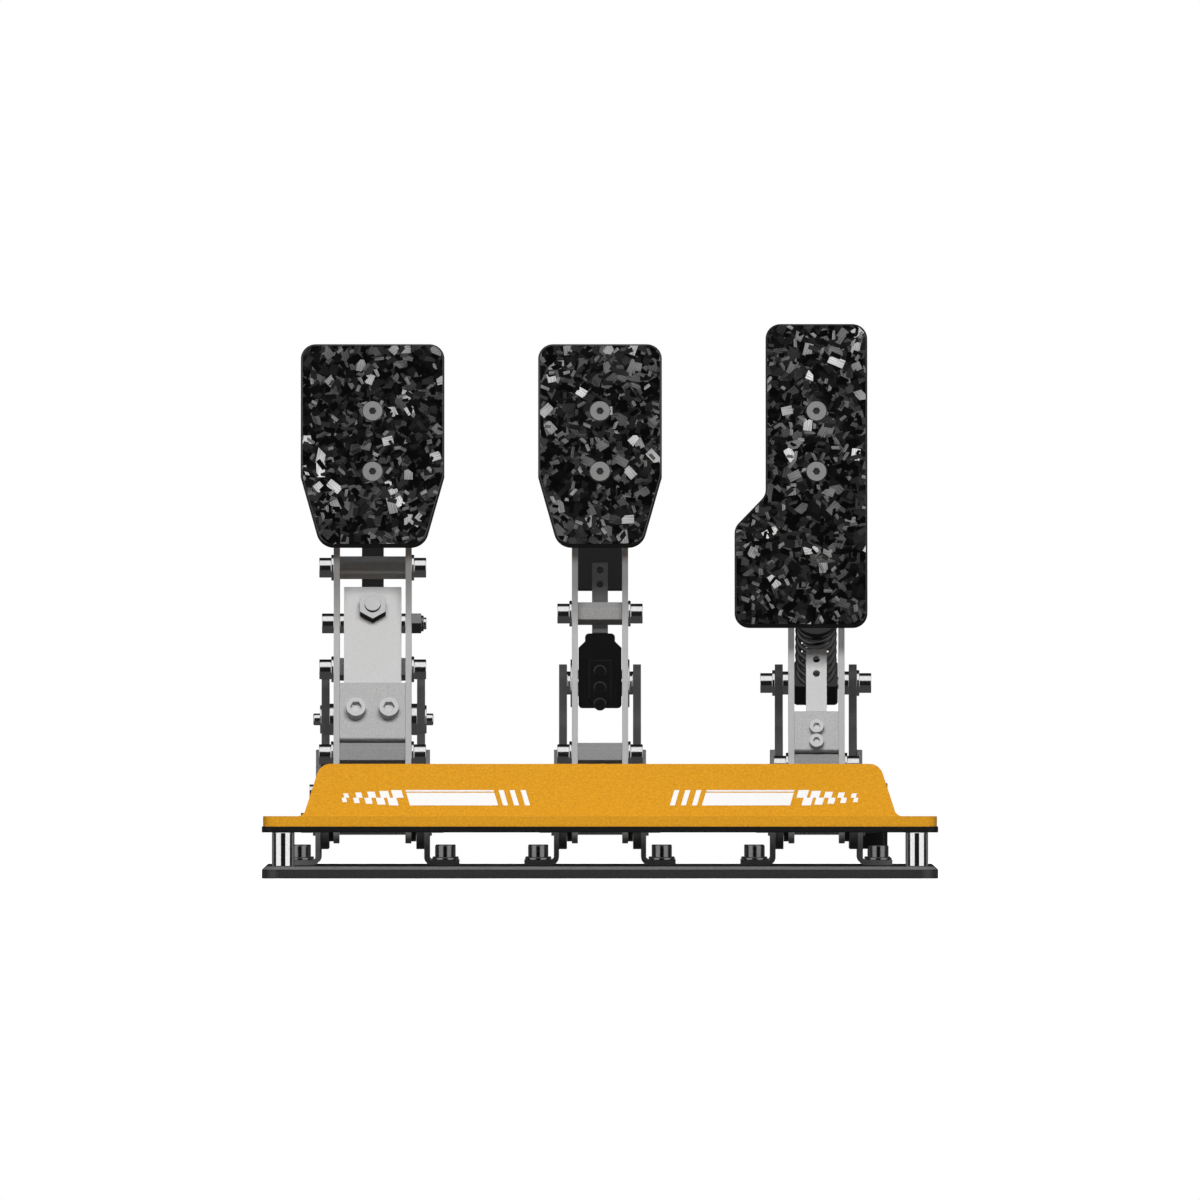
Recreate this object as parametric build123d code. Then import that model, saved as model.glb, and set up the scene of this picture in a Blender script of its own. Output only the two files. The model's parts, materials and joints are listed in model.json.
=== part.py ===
from build123d import *
import os
from math import cos, degrees, hypot, pi, radians, sin, sqrt

# A set of three floor pedals on one steel base plate.
# Lengths are in millimetres. X runs to the driver's right, Y away from the driver, Z up.
# The origin is the middle of the underside of the base plate.

os.makedirs("parts", exist_ok=True)

# How far a cutting tool runs past the face it cuts, and the two kinds of clearance.
overrun = 1.0
running_gap = 0.05
seat_gap = 0.3

# Base plate
base_width = 337.0
base_depth = 300.0
base_thickness = 6.0
base_corner_radius = 9.0
base_edge_chamfer = 1.5
rig_hole_x = 54.0
rig_hole_front_y = -62.0
rig_hole_rear_y = 134.0
rig_hole_radius = 3.3

# Heel deck, heel plate and the posts that carry them
deck_depth = 78.0
deck_thickness = 2.95
deck_corner_radius = 6.0
post_height = 16.95
post_radius = 5.5
post_inset_x = 10.5
post_front_inset = 10.5
post_rear_inset = 16.0
heel_sheet = 2.5
heel_lip_height = 5.0
heel_inset = 0.6
heel_flat_depth = 40.0
kick_depth = 38.0
kick_rise = 26.0
kick_foot_inset = 20.5
kick_top_inset = 28.8
kick_top_corner = 7.0
kick_foot_corner = 4.0

# Pedal pivots and the lean of the arms and of the foot plates
pivot_y = -0.328
pivot_z = 27.1
arm_zero_s = 0.958
arm_lean = 20.0
face_lean = 12.0
face_foot_y = 4.0
face_foot_z = 166.0

# Places of the outer pedals, in from the edges of the base plate
left_pedal_inset = 54.5
right_pedal_inset = 60.0

# Side brackets: a bent angle each side of a pedal
bracket_thickness = 2.5
bracket_front_y = -22.0
bracket_rear_y = 125.0
bracket_top_z = 63.5
bracket_shelf_z = 45.0
foot_width = 14.8
foot_bolt_offset = 7.9
foot_bend_radius = 4.0
foot_bolt_front_y = -9.0
foot_bolt_rear_y = 110.0
spare_hole_step = 16.0

# Uprights: the plates inside the brackets that carry the strut trunnions
upright_thickness = 4.0
upright_end_radius = 13.15
upright_head_radius = 9.4
upright_rear_y = 118.0
upright_shoulder_z = 50.0
upright_shoulder_y = 62.0
upright_bolt_front_y = 52.0
upright_bolt_front_z = 42.4
upright_bolt_rear_y = 100.0
upright_bolt_rear_z = 26.0

# Arms
arm_thickness = 3.0
side_gap = 2.5
arm_front = 11.0
arm_back = 11.0
arm_back_wide = 20.0
arm_end_radius = 11.2
arm_foot_reach = 10.25
arm_bend_s = 110.0
arm_top_t = 82.0
arm_top_depth = 21.0
arm_nose_t = 2.0
arm_slot_radius = 3.6
arm_slot_length = 26.0

# Pivot axle and its bushes
axle_radius = 6.0
axle_bore_depth = 12.0
bush_radius = 8.0
bush_flange_radius = 9.3
bush_flange_gap = 0.1

# Hexagonal spacers between the arms
hex_across_flats = 10.0
hex_bore_depth = 10.0
hex_turn = 30.0

# Foot plates and the channel bracket behind each
face_thickness = 6.0
face_edge_chamfer = 0.8
countersink_ring = 0.4
web_thickness = 4.0
web_foot_t = 6.0
ear_thickness = 3.0
ear_depth = 17.0
ear_foot_t = 12.0
ear_top_t = 76.0
ear_bolt_low_t = 24.0
ear_bolt_high_t = 64.0
ear_bolt_depth = 19.0
face_screw_low_t = 38.1
face_screw_high_t = 69.1

# Struts: an eye on the arm's pin, a rod, and the swivel block that the rod slides through
pin_radius = 3.0
open_pivot_gap = 0.9
plate_disc_radius = 12.0
plate_disc_thickness = 0.7
plate_head_height = 1.4
lock_nut_hex_share = 0.8
lock_nut_crown_share = 1.0
lock_nut_proud = 1.4
eye_radius = 6.5
rod_radius = 4.0
rod_tail = 11.0
collar_start = 10.0
collar_thickness = 3.0
collar_radius = 10.5
block_half_length = 8.0
block_half_height = 8.0
trunnion_radius = 3.0
trunnion_reach = 6.0
spacer_radius = 5.85
block_side_gap = 0.3
tail_nut_length = 5.0
clip_radius = 7.15
clip_thickness = 0.8
clip_pin_proud = 4.2
tail_nut_across_flats = 13.0

# Coil springs
wire_radius = 1.25
coil_radius = 9.3
coil_turns = 7
sleeve_radius = 7.0
sleeve_length = 16.0

# Elastomer stack on the load cell pedal
puck_count = 5
puck_radius = 11.0
disc_radius = 12.0
disc_thickness = 1.2

# Load cell, clamp block and stud
cell_thickness = 7.0
cell_front_n = 2.0
cell_half_width = 14.4
cell_foot_s = 42.0
cell_top_s = 122.0
cell_window_radius = 2.2
cell_window_spacing = 9.0
stud_radius = 4.0
stud_s = 112.3
stud_proud = 8.5
stud_nut_across_flats = 13.0
stud_nut_height = 6.5
block_front_n = 10.5

# Sensor bars and rear braces
bar_thickness = 2.5
bar_hole_radius = 1.75
bar_hole_spacing = 7.6
brace_thickness = 3.0
tongue_foot_t = -11.6

# Controller box beside the right-hand pedal
box_width = 12.5
box_front_y = 12.0
box_rear_y = 88.0
box_foot_z = 14.0
box_top_z = 46.8
box_wall = 2.0
box_back = 2.5
box_corner_radius = 2.5
lid_thickness = 2.0
lid_screw_inset = 5.0
socket_width = 5.0
socket_height = 9.0
socket_depth = 6.0
socket_proud = 1.0
socket_wall = 0.8
socket_z = 30.0

# Fasteners: shank radius, head radius, head height, socket across flats, washer radius
m6_cap = dict(shank=3.0, head=5.0, height=6.0, socket=5.0, washer=6.5, washer_height=1.3)
m4_cap = dict(shank=2.0, head=3.6, height=4.0, socket=3.0, washer=4.5, washer_height=0.8)
upright_cap = dict(shank=2.5, head=3.8, height=3.3, socket=3.0, washer=5.5, washer_height=1.0)
m5_button = dict(shank=2.5, head=4.4, height=1.4, socket=3.0, washer=5.5, washer_height=1.0)
m5_flat = dict(shank=2.5, head=4.95, height=2.6, socket=3.3, washer=5.5, washer_height=1.0)
m3_flat = dict(shank=1.5, head=2.8, height=1.5, socket=2.0, washer=3.5, washer_height=0.5)
socket_depth_share = 0.55

# The three pedals. Places along an arm are s, from the pivot up the arm, and n, forward of it.
left_pedal = dict(
    name="left", x=left_pedal_inset - base_width / 2, gap=33.0,
    face_half_width=36.0, face_foot_half_width=26.0, face_height=103.5, face_taper_t=36.0,
    hexes=[(33.8, 5.0), (85.4, -12.5), (132.3, 7.7)],
    strut_s=109.9, strut_n=-12.5, trunnion_y=112.0, trunnion_z=78.7, head_rise=14.0,
    eye_half_width=8.0, travel=6.0,
    tongue_width=11.0, brace_depth=46.0, brace_foot_t=10.5, brace_top_t=22.0,
    block_foot_s=40.0, block_top_s=70.2, block_back_n=2.0,
)
middle_pedal = dict(
    name="middle", x=0.0, gap=22.2,
    face_half_width=31.0, face_foot_half_width=21.0, face_height=103.5, face_taper_t=36.0,
    hexes=[(33.8, 5.0), (110.6, 0.0)],
    strut_s=75.6, strut_n=-6.0, trunnion_y=107.0, trunnion_z=97.0, head_rise=0.0,
    eye_half_width=10.8, travel=14.0,
    tongue_width=22.2, brace_depth=52.1, brace_foot_t=4.0, brace_top_t=12.0,
    bar_half_width=4.0, bar_foot_s=106.0, bar_top_s=137.0, bar_front_n=-5.7,
)
right_pedal = dict(
    name="right", x=base_width / 2 - right_pedal_inset, gap=22.2,
    face_half_width=25.5, face_heel_half_width=41.1, face_height=113.8, face_foot_t=-41.0,
    hexes=[(27.7, 5.0), (132.3, 7.7)],
    strut_s=119.5, strut_n=-12.5, trunnion_y=107.0, trunnion_z=97.0, head_rise=0.0,
    eye_half_width=8.0, travel=14.0,
    block_foot_s=34.0, block_top_s=55.0, block_back_n=3.0,
    bar_half_width=5.2, bar_foot_s=45.0, bar_top_s=90.4, bar_front_n=3.0,
)
pedals = [left_pedal, middle_pedal, right_pedal]

face_corner = 7.5
face_foot_corner = 9.0
heel_step_top_t = 26.0
heel_step_foot_t = 9.5

# Black cartridge at the front of the middle strut
cartridge_top = 25.0
cartridge_foot = 12.5
cartridge_neck_half_width = 7.5
cartridge_neck = 4.0
cartridge_shoulder = 7.2
cartridge_front = 8.5
cartridge_back = 10.0
cartridge_boss_half_width = 5.5
cartridge_boss_height = 22.0
cartridge_boss_depth = 1.5
cartridge_corner = 2.0
cartridge_button_count = 3
cartridge_button_radius = 3.2
cartridge_button_depth = 0.9


def arm_half_width(pedal):
    """Half the distance over the outer faces of a pedal's arms."""
    return pedal["gap"] / 2 + arm_thickness


def upright_inner(pedal):
    return arm_half_width(pedal) + side_gap


def upright_outer(pedal):
    return upright_inner(pedal) + upright_thickness


def bracket_outer(pedal):
    return upright_outer(pedal) + bracket_thickness


def on_arm(s, n):
    """Point (y, z) at s up a leaning arm, from just above its pivot, and n in front of its middle line."""
    lean = radians(arm_lean)
    reach = s + arm_zero_s
    return (pivot_y + reach * sin(lean) - n * cos(lean), pivot_z + reach * cos(lean) + n * sin(lean))


def on_face(t, depth):
    """Point (y, z) at t up the foot plate and depth behind its front."""
    lean = radians(face_lean)
    return (
        face_foot_y + t * sin(lean) + depth * cos(lean),
        face_foot_z + t * cos(lean) - depth * sin(lean),
    )


def outline(points_and_radii):
    """Closed face with every corner rounded by its own radius."""
    points = [place for place, radius in points_and_radii]
    radii = [radius for place, radius in points_and_radii]
    return make_face(FilletPolyline(*points, radius=radii, close=True))


def slab(face, x_low, thickness):
    """A plate of the given side outline, lying across X."""
    return extrude(Plane.YZ.offset(x_low) * face, thickness)


def pair(face, inner, thickness):
    """Two equal plates, one each side of the middle of a pedal."""
    return [slab(face, inner, thickness), slab(face, -inner - thickness, thickness)]


def x_rod(place, radius, x_low, x_high):
    frame = Plane(origin=(x_low, place[0], place[1]), x_dir=(0, 1, 0), z_dir=(1, 0, 0))
    return frame * Cylinder(radius, x_high - x_low, align=(Align.CENTER, Align.CENTER, Align.MIN))


def x_bore(place, radius, reach):
    return x_rod(place, radius, -reach, reach)


def side_frame(x, place, side):
    """Frame on a side face, with its Z pointing away from the pedal's middle."""
    return Plane(origin=(x * side, place[0], place[1]), x_dir=(0, 1, 0), z_dir=(side, 0, 0))


def leaning_frame(s, n, x=0.0):
    """Frame on the arm's forward side, with its Z pointing forward and up."""
    lean = radians(arm_lean)
    y, z = on_arm(s, n)
    return Plane(origin=(x, y, z), x_dir=(1, 0, 0), z_dir=(0, -cos(lean), sin(lean)))


def face_frame(t, depth, x=0.0):
    lean = radians(face_lean)
    y, z = on_face(t, depth)
    return Plane(origin=(x, y, z), x_dir=(1, 0, 0), z_dir=(0, -cos(lean), sin(lean)))


def standing(radius, height):
    return Cylinder(radius, height, align=(Align.CENTER, Align.CENTER, Align.MIN))


def hanging(radius, height):
    return Cylinder(radius, height, align=(Align.CENTER, Align.CENTER, Align.MAX))


def hexagon(across_flats, height, turn=0.0):
    sketch = RegularPolygon(across_flats / sqrt(3), 6, rotation=turn)
    return extrude(sketch, height)


def cap_screw(screw, length):
    """Socket screw with its seat at Z 0 and its shank below."""
    depth = screw["height"] * socket_depth_share
    socket = Pos(0, 0, screw["height"] - depth) * hexagon(screw["socket"], depth + overrun)
    return standing(screw["head"], screw["height"]) - socket + hanging(screw["shank"], length)


def flat_screw(screw, length):
    """Countersunk socket screw with its head flush at Z 0."""
    head = Cone(screw["shank"], screw["head"], screw["height"],
                align=(Align.CENTER, Align.CENTER, Align.MAX))
    depth = screw["height"] * socket_depth_share
    socket = Pos(0, 0, -depth) * hexagon(screw["socket"], depth + overrun)
    return head + hanging(screw["shank"], length) - socket


def flat_recess(screw, length, wider=0.0):
    """Cutter for a countersunk screw: its own shape without the socket, or a little wider at the top."""
    head = Cone(screw["shank"], screw["head"] + wider, screw["height"],
                align=(Align.CENTER, Align.CENTER, Align.MAX))
    return head + hanging(screw["shank"], length)


def washer(screw):
    ring = standing(screw["washer"], screw["washer_height"])
    return ring - Pos(0, 0, -overrun) * standing(screw["shank"], screw["washer_height"] + 2 * overrun)


def rounded_plate(width, depth, thickness, corner):
    return extrude(RectangleRounded(width, depth, corner), thickness)


def save(name, items, x=0.0):
    solids = [Pos(x, 0, 0) * solid for item in items for solid in item.solids()]
    export_step(Compound(children=solids, label=name), f"parts/{name}.step")


# Fixed structure


def foot_bolt_places(pedal):
    """Places (x, y) of the four bolts that hold a pedal to the base plate."""
    offset = bracket_outer(pedal) + foot_bolt_offset
    return [(pedal["x"] + side * offset, y)
            for side in (-1, 1) for y in (foot_bolt_front_y, foot_bolt_rear_y)]


def post_places():
    x = base_width / 2 - post_inset_x
    front = -base_depth / 2 + post_front_inset
    rear = -base_depth / 2 + deck_depth - post_rear_inset
    return [(side * x, y) for side in (-1, 1) for y in (front, rear)]


def base_plate():
    plate = rounded_plate(base_width, base_depth, base_thickness, base_corner_radius)
    plate = chamfer(plate.edges().group_by(Axis.Z)[-1], base_edge_chamfer)
    through = base_thickness + 2 * overrun
    for x in (-rig_hole_x, rig_hole_x):
        for y in (rig_hole_front_y, rig_hole_rear_y):
            plate -= Pos(x, y, -overrun) * standing(rig_hole_radius, through)
    for pedal in pedals:
        for x, y in foot_bolt_places(pedal):
            inward = -1 if y > 0 else 1
            for step in (0, 1):
                place = Pos(x, y + inward * step * spare_hole_step, -overrun)
                plate -= place * standing(m6_cap["shank"], through)
    for x, y in post_places():
        plate -= Pos(x, y, 0) * Rot(180, 0, 0) * flat_recess(m5_flat, base_thickness + overrun)
    return plate


def heel_deck():
    height = base_thickness + post_height
    centre_y = -base_depth / 2 + deck_depth / 2
    deck = Pos(0, centre_y, height) * rounded_plate(base_width, deck_depth, deck_thickness, deck_corner_radius)
    for x, y in post_places():
        deck -= Pos(x, y, height - overrun) * standing(m5_flat["shank"], deck_thickness + 2 * overrun)
    return deck


def heel_plate():
    """Bent sheet: a turned-down lip, a flat for the heels and a kick panel."""
    width = base_width - 2 * heel_inset
    low = base_thickness + post_height + deck_thickness
    top = low + heel_lip_height
    front = -base_depth / 2 + heel_inset
    bend = front + heel_flat_depth
    rear = bend + kick_depth
    slope = hypot(kick_depth, kick_rise)
    foot_half = base_width / 2 - kick_foot_inset
    top_half = base_width / 2 - kick_top_inset
    rise_y = heel_sheet * kick_rise / slope
    rise_z = heel_sheet * kick_depth / slope
    profile = outline([
        ((front, low), 0),
        ((front, top), 0),
        ((bend, top), 0),
        ((rear, top + kick_rise), 0),
        ((rear + rise_y, top + kick_rise - rise_z), 0),
        ((bend + rise_y / 2, top - heel_sheet), 0),
        ((front + heel_sheet, top - heel_sheet), 0),
        ((front + heel_sheet, low), 0),
    ])
    sheet = slab(profile, -width / 2, width)
    panel = outline([
        ((-width / 2, low - overrun), 0),
        ((width / 2, low - overrun), 0),
        ((width / 2, top), 0),
        ((foot_half, top), kick_foot_corner),
        ((top_half, top + kick_rise), kick_top_corner),
        ((-top_half, top + kick_rise), kick_top_corner),
        ((-foot_half, top), kick_foot_corner),
        ((-width / 2, top), 0),
    ])
    mask = extrude(Plane.XZ.offset(-rear - heel_sheet - overrun) * panel, base_depth)
    plan = Pos(0, front + base_depth / 2, 0) * rounded_plate(width, base_depth, low + base_depth,
                                                            deck_corner_radius)
    sheet = sheet & mask & plan
    for x, y in post_places():
        if y < bend:
            sheet -= Pos(x, y, top) * flat_recess(m5_flat, heel_sheet + overrun)
    return sheet


def posts():
    tubes = []
    for x, y in post_places():
        tube = Pos(x, y, base_thickness) * standing(post_radius, post_height)
        tube -= Pos(x, y, base_thickness - overrun) * standing(m5_flat["shank"], post_height + 2 * overrun)
        tubes.append(tube)
    return tubes


def cover_screws():
    """Flush screws: into the posts from below and above, and the ones of the controller lid."""
    screws = []
    reach = base_thickness + post_height / 2 - overrun
    deck_top = base_thickness + post_height + deck_thickness
    heel_top = deck_top + heel_lip_height
    for x, y in post_places():
        screws.append(Pos(x, y, 0) * Rot(180, 0, 0) * flat_screw(m5_flat, reach))
        on_heel = y < -base_depth / 2 + heel_inset + heel_flat_depth
        top = heel_top if on_heel else deck_top + m5_button["height"]
        length = top - base_thickness - post_height / 2 - overrun
        if on_heel:
            screws.append(Pos(x, y, top) * flat_screw(m5_flat, length))
        else:
            screws.append(Pos(x, y, deck_top) * cap_screw(m5_button, length - m5_button["height"]))
    for place in lid_screw_places():
        screws.append(lid_frame(place) * flat_screw(m3_flat, lid_thickness + 2 * box_wall))
    return screws


def side_brackets(pedal):
    inner = upright_outer(pedal)
    floor = base_thickness
    wall = outline([
        ((bracket_front_y, floor), 0),
        ((bracket_front_y, bracket_shelf_z), foot_width / 2),
        ((upright_bolt_front_y - foot_width * 1.5, bracket_shelf_z), foot_width / 3),
        ((upright_bolt_front_y - foot_width, bracket_top_z), foot_width / 3),
        ((upright_bolt_rear_y, bracket_top_z), foot_width / 2),
        ((bracket_rear_y, bracket_shelf_z), foot_width / 2),
        ((bracket_rear_y, floor), 0),
    ])
    length = bracket_rear_y - bracket_front_y
    brackets = []
    for side in (-1, 1):
        x_low = inner if side > 0 else -inner - bracket_thickness
        plate = slab(wall, x_low, bracket_thickness)
        foot_span = bracket_thickness + foot_width
        foot_low = inner if side > 0 else -inner - foot_span
        foot = Pos(foot_low, bracket_front_y, floor) * Box(
            foot_span, length, bracket_thickness, align=(Align.MIN, Align.MIN, Align.MIN))
        angle = plate + foot
        outer_corner = angle.edges().filter_by(Axis.Y).filter_by(
            lambda edge: abs(edge.center().X - side * inner) < running_gap
            and abs(edge.center().Z - floor) < running_gap)
        angle = fillet(outer_corner, foot_bend_radius)
        inner_corner = angle.edges().filter_by(Axis.Y).filter_by(
            lambda edge: abs(edge.center().X - side * (inner + bracket_thickness)) < running_gap
            and abs(edge.center().Z - floor - bracket_thickness) < running_gap)
        angle = fillet(inner_corner, foot_bend_radius - bracket_thickness)
        for x, y in foot_bolt_places(pedal):
            local = x - pedal["x"]
            angle -= Pos(local, y, floor - overrun) * standing(
                m6_cap["shank"], bracket_thickness + 2 * overrun)
        brackets.append(angle)
    reach = bracket_outer(pedal) + overrun
    cuts = x_bore((pivot_y, pivot_z), axle_radius, reach)
    for place in upright_bolt_places():
        cuts += x_bore(place, m5_button["shank"], reach)
    return [bracket - cuts for bracket in brackets]


def bracket_bolts():
    items = []
    seat = base_thickness + bracket_thickness
    for pedal in pedals:
        for x, y in foot_bolt_places(pedal):
            items.append(Pos(x, y, seat) * washer(m6_cap))
            top = seat + m6_cap["washer_height"]
            items.append(Pos(x, y, top) * cap_screw(m6_cap, top - seat_gap))
    return items


def upright_bolt_places():
    return [(upright_bolt_front_y, upright_bolt_front_z), (upright_bolt_rear_y, upright_bolt_rear_z)]


def upright_outline(pedal):
    low = pivot_z - upright_end_radius
    head_y = pedal["trunnion_y"]
    head_z = pedal["trunnion_z"] + pedal["head_rise"]
    head = upright_head_radius
    end = upright_end_radius
    rounding = end - running_gap
    return outline([
        ((pivot_y - end, low), rounding),
        ((upright_rear_y, low), head),
        ((head_y + head, upright_shoulder_z), head),
        ((head_y + head, head_z + head), head - running_gap),
        ((head_y - head, head_z + head), head - running_gap),
        ((head_y - 1.5 * head, pedal["trunnion_z"] - 2 * head), 2 * head),
        ((upright_shoulder_y, upright_shoulder_z), head),
        ((upright_shoulder_y - 3 * head, low + 2 * end), head),
        ((pivot_y - end, low + 2 * end), rounding),
    ])


def uprights(pedal):
    reach = upright_outer(pedal) + overrun
    cuts = x_bore((pivot_y, pivot_z), axle_radius, reach)
    cuts += x_bore((pedal["trunnion_y"], pedal["trunnion_z"]), trunnion_radius, reach)
    for place in upright_bolt_places():
        cuts += x_bore(place, m5_button["shank"], reach)
    return [plate - cuts for plate in pair(upright_outline(pedal), upright_inner(pedal), upright_thickness)]


def upright_bolts():
    items = []
    length = bracket_thickness + upright_thickness
    for pedal in pedals:
        for side in (-1, 1):
            for place in upright_bolt_places():
                frame = side_frame(bracket_outer(pedal), place, side)
                items.append(Pos(pedal["x"], 0, 0) * (frame * cap_screw(upright_cap, length)))
    return items


def pivot_axles():
    """Fixed axles, tapped at both ends."""
    axles = []
    place = (pivot_y, pivot_z)
    for pedal in pedals:
        half = bracket_outer(pedal)
        axle = x_rod(place, axle_radius, -half, half)
        for side in (-1, 1):
            axle -= side_frame(half - axle_bore_depth, place, side) * standing(
                m6_cap["shank"], axle_bore_depth + overrun)
        axles.append(Pos(pedal["x"], 0, 0) * axle)
    return axles


def pivot_screws():
    """A cap screw and washer in each end of each axle, outside the bracket."""
    items = []
    place = (pivot_y, pivot_z)
    for pedal in pedals:
        for side in (-1, 1):
            seat = side_frame(bracket_outer(pedal), place, side)
            above = side_frame(bracket_outer(pedal) + m6_cap["washer_height"], place, side)
            length = m6_cap["washer_height"] + axle_bore_depth - seat_gap
            items += [Pos(pedal["x"], 0, 0) * (seat * washer(m6_cap)),
                      Pos(pedal["x"], 0, 0) * (above * cap_screw(m6_cap, length))]
    return items


def trunnion_bolts():
    """Fixings of the swivel blocks, each of its pedal's own kind, and the spacer tubes inside the uprights."""
    items = []
    for pedal in pedals:
        for side in (-1, 1):
            items += [Pos(pedal["x"], 0, 0) * item for item in trunnion_fixing(pedal, side)]
    return items


def trunnion_fixing(pedal, side):
    place = (pedal["trunnion_y"], pedal["trunnion_z"])
    outer = upright_outer(pedal)
    start = pedal["gap"] / 2 + block_side_gap
    tube_radius = spacer_radius
    seat = side_frame(outer, place, side)
    if pedal is right_pedal:
        above = side_frame(outer + m6_cap["washer_height"], place, side)
        length = outer - trunnion_reach + m6_cap["washer_height"]
        items = [seat * washer(m6_cap), above * cap_screw(m6_cap, length)]
    elif pedal is middle_pedal:
        items = [seat * flush_pin(outer - trunnion_reach)]
    else:
        items = [seat * clipped_pin(outer - trunnion_reach), seat * clip_washer(clip_radius)]
        tube_radius = clip_radius + clip_thickness
    tube = side_frame(start, place, side) * standing(tube_radius, upright_inner(pedal) - start)
    items.append(tube - x_bore(place, trunnion_radius, outer))
    return items


def flush_pin(length):
    socket = Pos(0, 0, -m6_cap["socket"] / 2) * hexagon(m5_button["socket"], m6_cap["socket"])
    return hanging(trunnion_radius, length) - socket


def clipped_pin(length):
    """Pin with a groove for the clip that holds it."""
    pin = hanging(trunnion_radius, length) + standing(trunnion_radius, clip_pin_proud)
    return chamfer(pin.edges().group_by(Axis.Z)[-1], clip_thickness / 2)


def clip_washer(radius):
    ring = standing(radius, clip_thickness)
    return ring - Pos(0, 0, -overrun) * standing(trunnion_radius, clip_thickness + 2 * overrun)


def lid_frame(place):
    x = right_pedal["x"] + bracket_outer(right_pedal) + box_width
    return Plane(origin=(x, place[0], place[1]), x_dir=(0, 1, 0), z_dir=(1, 0, 0))


def lid_screw_places():
    return [(y, z) for y in (box_front_y + lid_screw_inset, box_rear_y - lid_screw_inset)
            for z in (box_foot_z + lid_screw_inset, box_top_z - lid_screw_inset)]


def box_outline(inset):
    low_y, high_y = box_front_y + inset, box_rear_y - inset
    low_z, high_z = box_foot_z + inset, box_top_z - inset
    corner = max(box_corner_radius - inset, running_gap)
    return outline([((low_y, low_z), corner), ((high_y, low_z), corner),
                    ((high_y, high_z), corner), ((low_y, high_z), corner)])


def socket_centre():
    x = right_pedal["x"] + bracket_outer(right_pedal) + (box_width - lid_thickness) / 2
    return (x, box_rear_y, socket_z)


def controller_box():
    x_low = right_pedal["x"] + bracket_outer(right_pedal)
    depth = box_width - lid_thickness
    tray = slab(box_outline(0), x_low, depth)
    tray -= slab(box_outline(box_wall), x_low + box_back, depth)
    for place in lid_screw_places():
        tray += x_rod(place, m3_flat["washer"], x_low, x_low + depth)
        tray -= x_rod(place, m3_flat["shank"], x_low + box_back, x_low + depth + overrun)
    head_room = upright_cap["height"] + seat_gap
    tray -= x_rod(upright_bolt_places()[0], upright_cap["head"] + seat_gap, x_low - overrun, x_low + head_room)
    x, y, z = socket_centre()
    opening = Pos(x, y, z) * Box(socket_width, 2 * socket_depth, socket_height)
    return tray - opening


def controller_lid():
    x_low = right_pedal["x"] + bracket_outer(right_pedal) + box_width - lid_thickness
    lid = slab(box_outline(0), x_low, lid_thickness)
    for place in lid_screw_places():
        lid -= lid_frame(place) * flat_recess(m3_flat, lid_thickness + overrun)
    return lid


def usb_socket():
    """Metal shell of the data socket, with its tongue."""
    x, y, z = socket_centre()
    length = socket_depth + socket_proud
    middle = y + socket_proud - length / 2
    shell = Pos(x, middle, z) * Box(socket_width, length, socket_height)
    hollow = Pos(x, middle + socket_wall, z) * Box(
        socket_width - 2 * socket_wall, length, socket_height - 2 * socket_wall)
    tongue = Pos(x, middle, z) * Box(socket_wall, length, socket_height - 4 * socket_wall)
    return shell - hollow + tongue


# Arms and what moves with them


def arm_outline():
    end = arm_end_radius
    back_depth = face_thickness + web_thickness
    round_end = min(arm_front, arm_back) - running_gap
    return outline([
        (on_arm(-arm_foot_reach - arm_zero_s, arm_front), round_end),
        (on_arm(arm_bend_s, arm_front), 3 * end),
        (on_face(arm_nose_t, back_depth), end / 2),
        (on_face(arm_top_t, back_depth), end / 2),
        (on_face(arm_top_t, back_depth + arm_top_depth), end),
        (on_arm(arm_bend_s + 2 * end, -arm_back_wide), 3 * end),
        (on_arm(arm_bend_s / 2 + end, -arm_back_wide), 2 * end),
        (on_arm(3 * end, -arm_back), 2 * end),
        (on_arm(-arm_foot_reach - arm_zero_s, -arm_back), round_end),
    ])


def ear_bolt_places():
    return [on_face(t, ear_bolt_depth) for t in (ear_bolt_low_t, ear_bolt_high_t)]


def strut_eye(pedal):
    return on_arm(pedal["strut_s"], pedal["strut_n"])


def arms(pedal):
    reach = arm_half_width(pedal) + overrun
    cuts = x_bore((pivot_y, pivot_z), bush_radius, reach)
    cuts += x_bore(strut_eye(pedal), pin_radius, reach)
    for s, n in pedal["hexes"]:
        cuts += x_bore(on_arm(s, n), m6_cap["shank"], reach)
    for place in ear_bolt_places():
        cuts += x_bore(place, m5_button["shank"], reach)
    middle_t = (ear_bolt_low_t + ear_bolt_high_t) / 2
    slot_centre = on_face(middle_t, face_thickness + web_thickness + arm_top_depth / 2)
    slot = Pos(*slot_centre) * Rot(0, 0, 90 - face_lean) * SlotOverall(arm_slot_length, 2 * arm_slot_radius)
    cuts += slab(slot, -reach, 2 * reach)
    return [plate - cuts for plate in pair(arm_outline(), pedal["gap"] / 2, arm_thickness)]


def pivot_bushes(pedal):
    """Flanged bushes pressed in the arms, running on the fixed axle."""
    items = []
    place = (pivot_y, pivot_z)
    inner = pedal["gap"] / 2
    for side in (-1, 1):
        sleeve = side_frame(inner, place, side) * standing(bush_radius, arm_thickness)
        flange = side_frame(arm_half_width(pedal), place, side) * standing(
            bush_flange_radius, side_gap - bush_flange_gap)
        bore = x_bore(place, axle_radius + running_gap, bracket_outer(pedal))
        items.append(sleeve + flange - bore)
    return items


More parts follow.
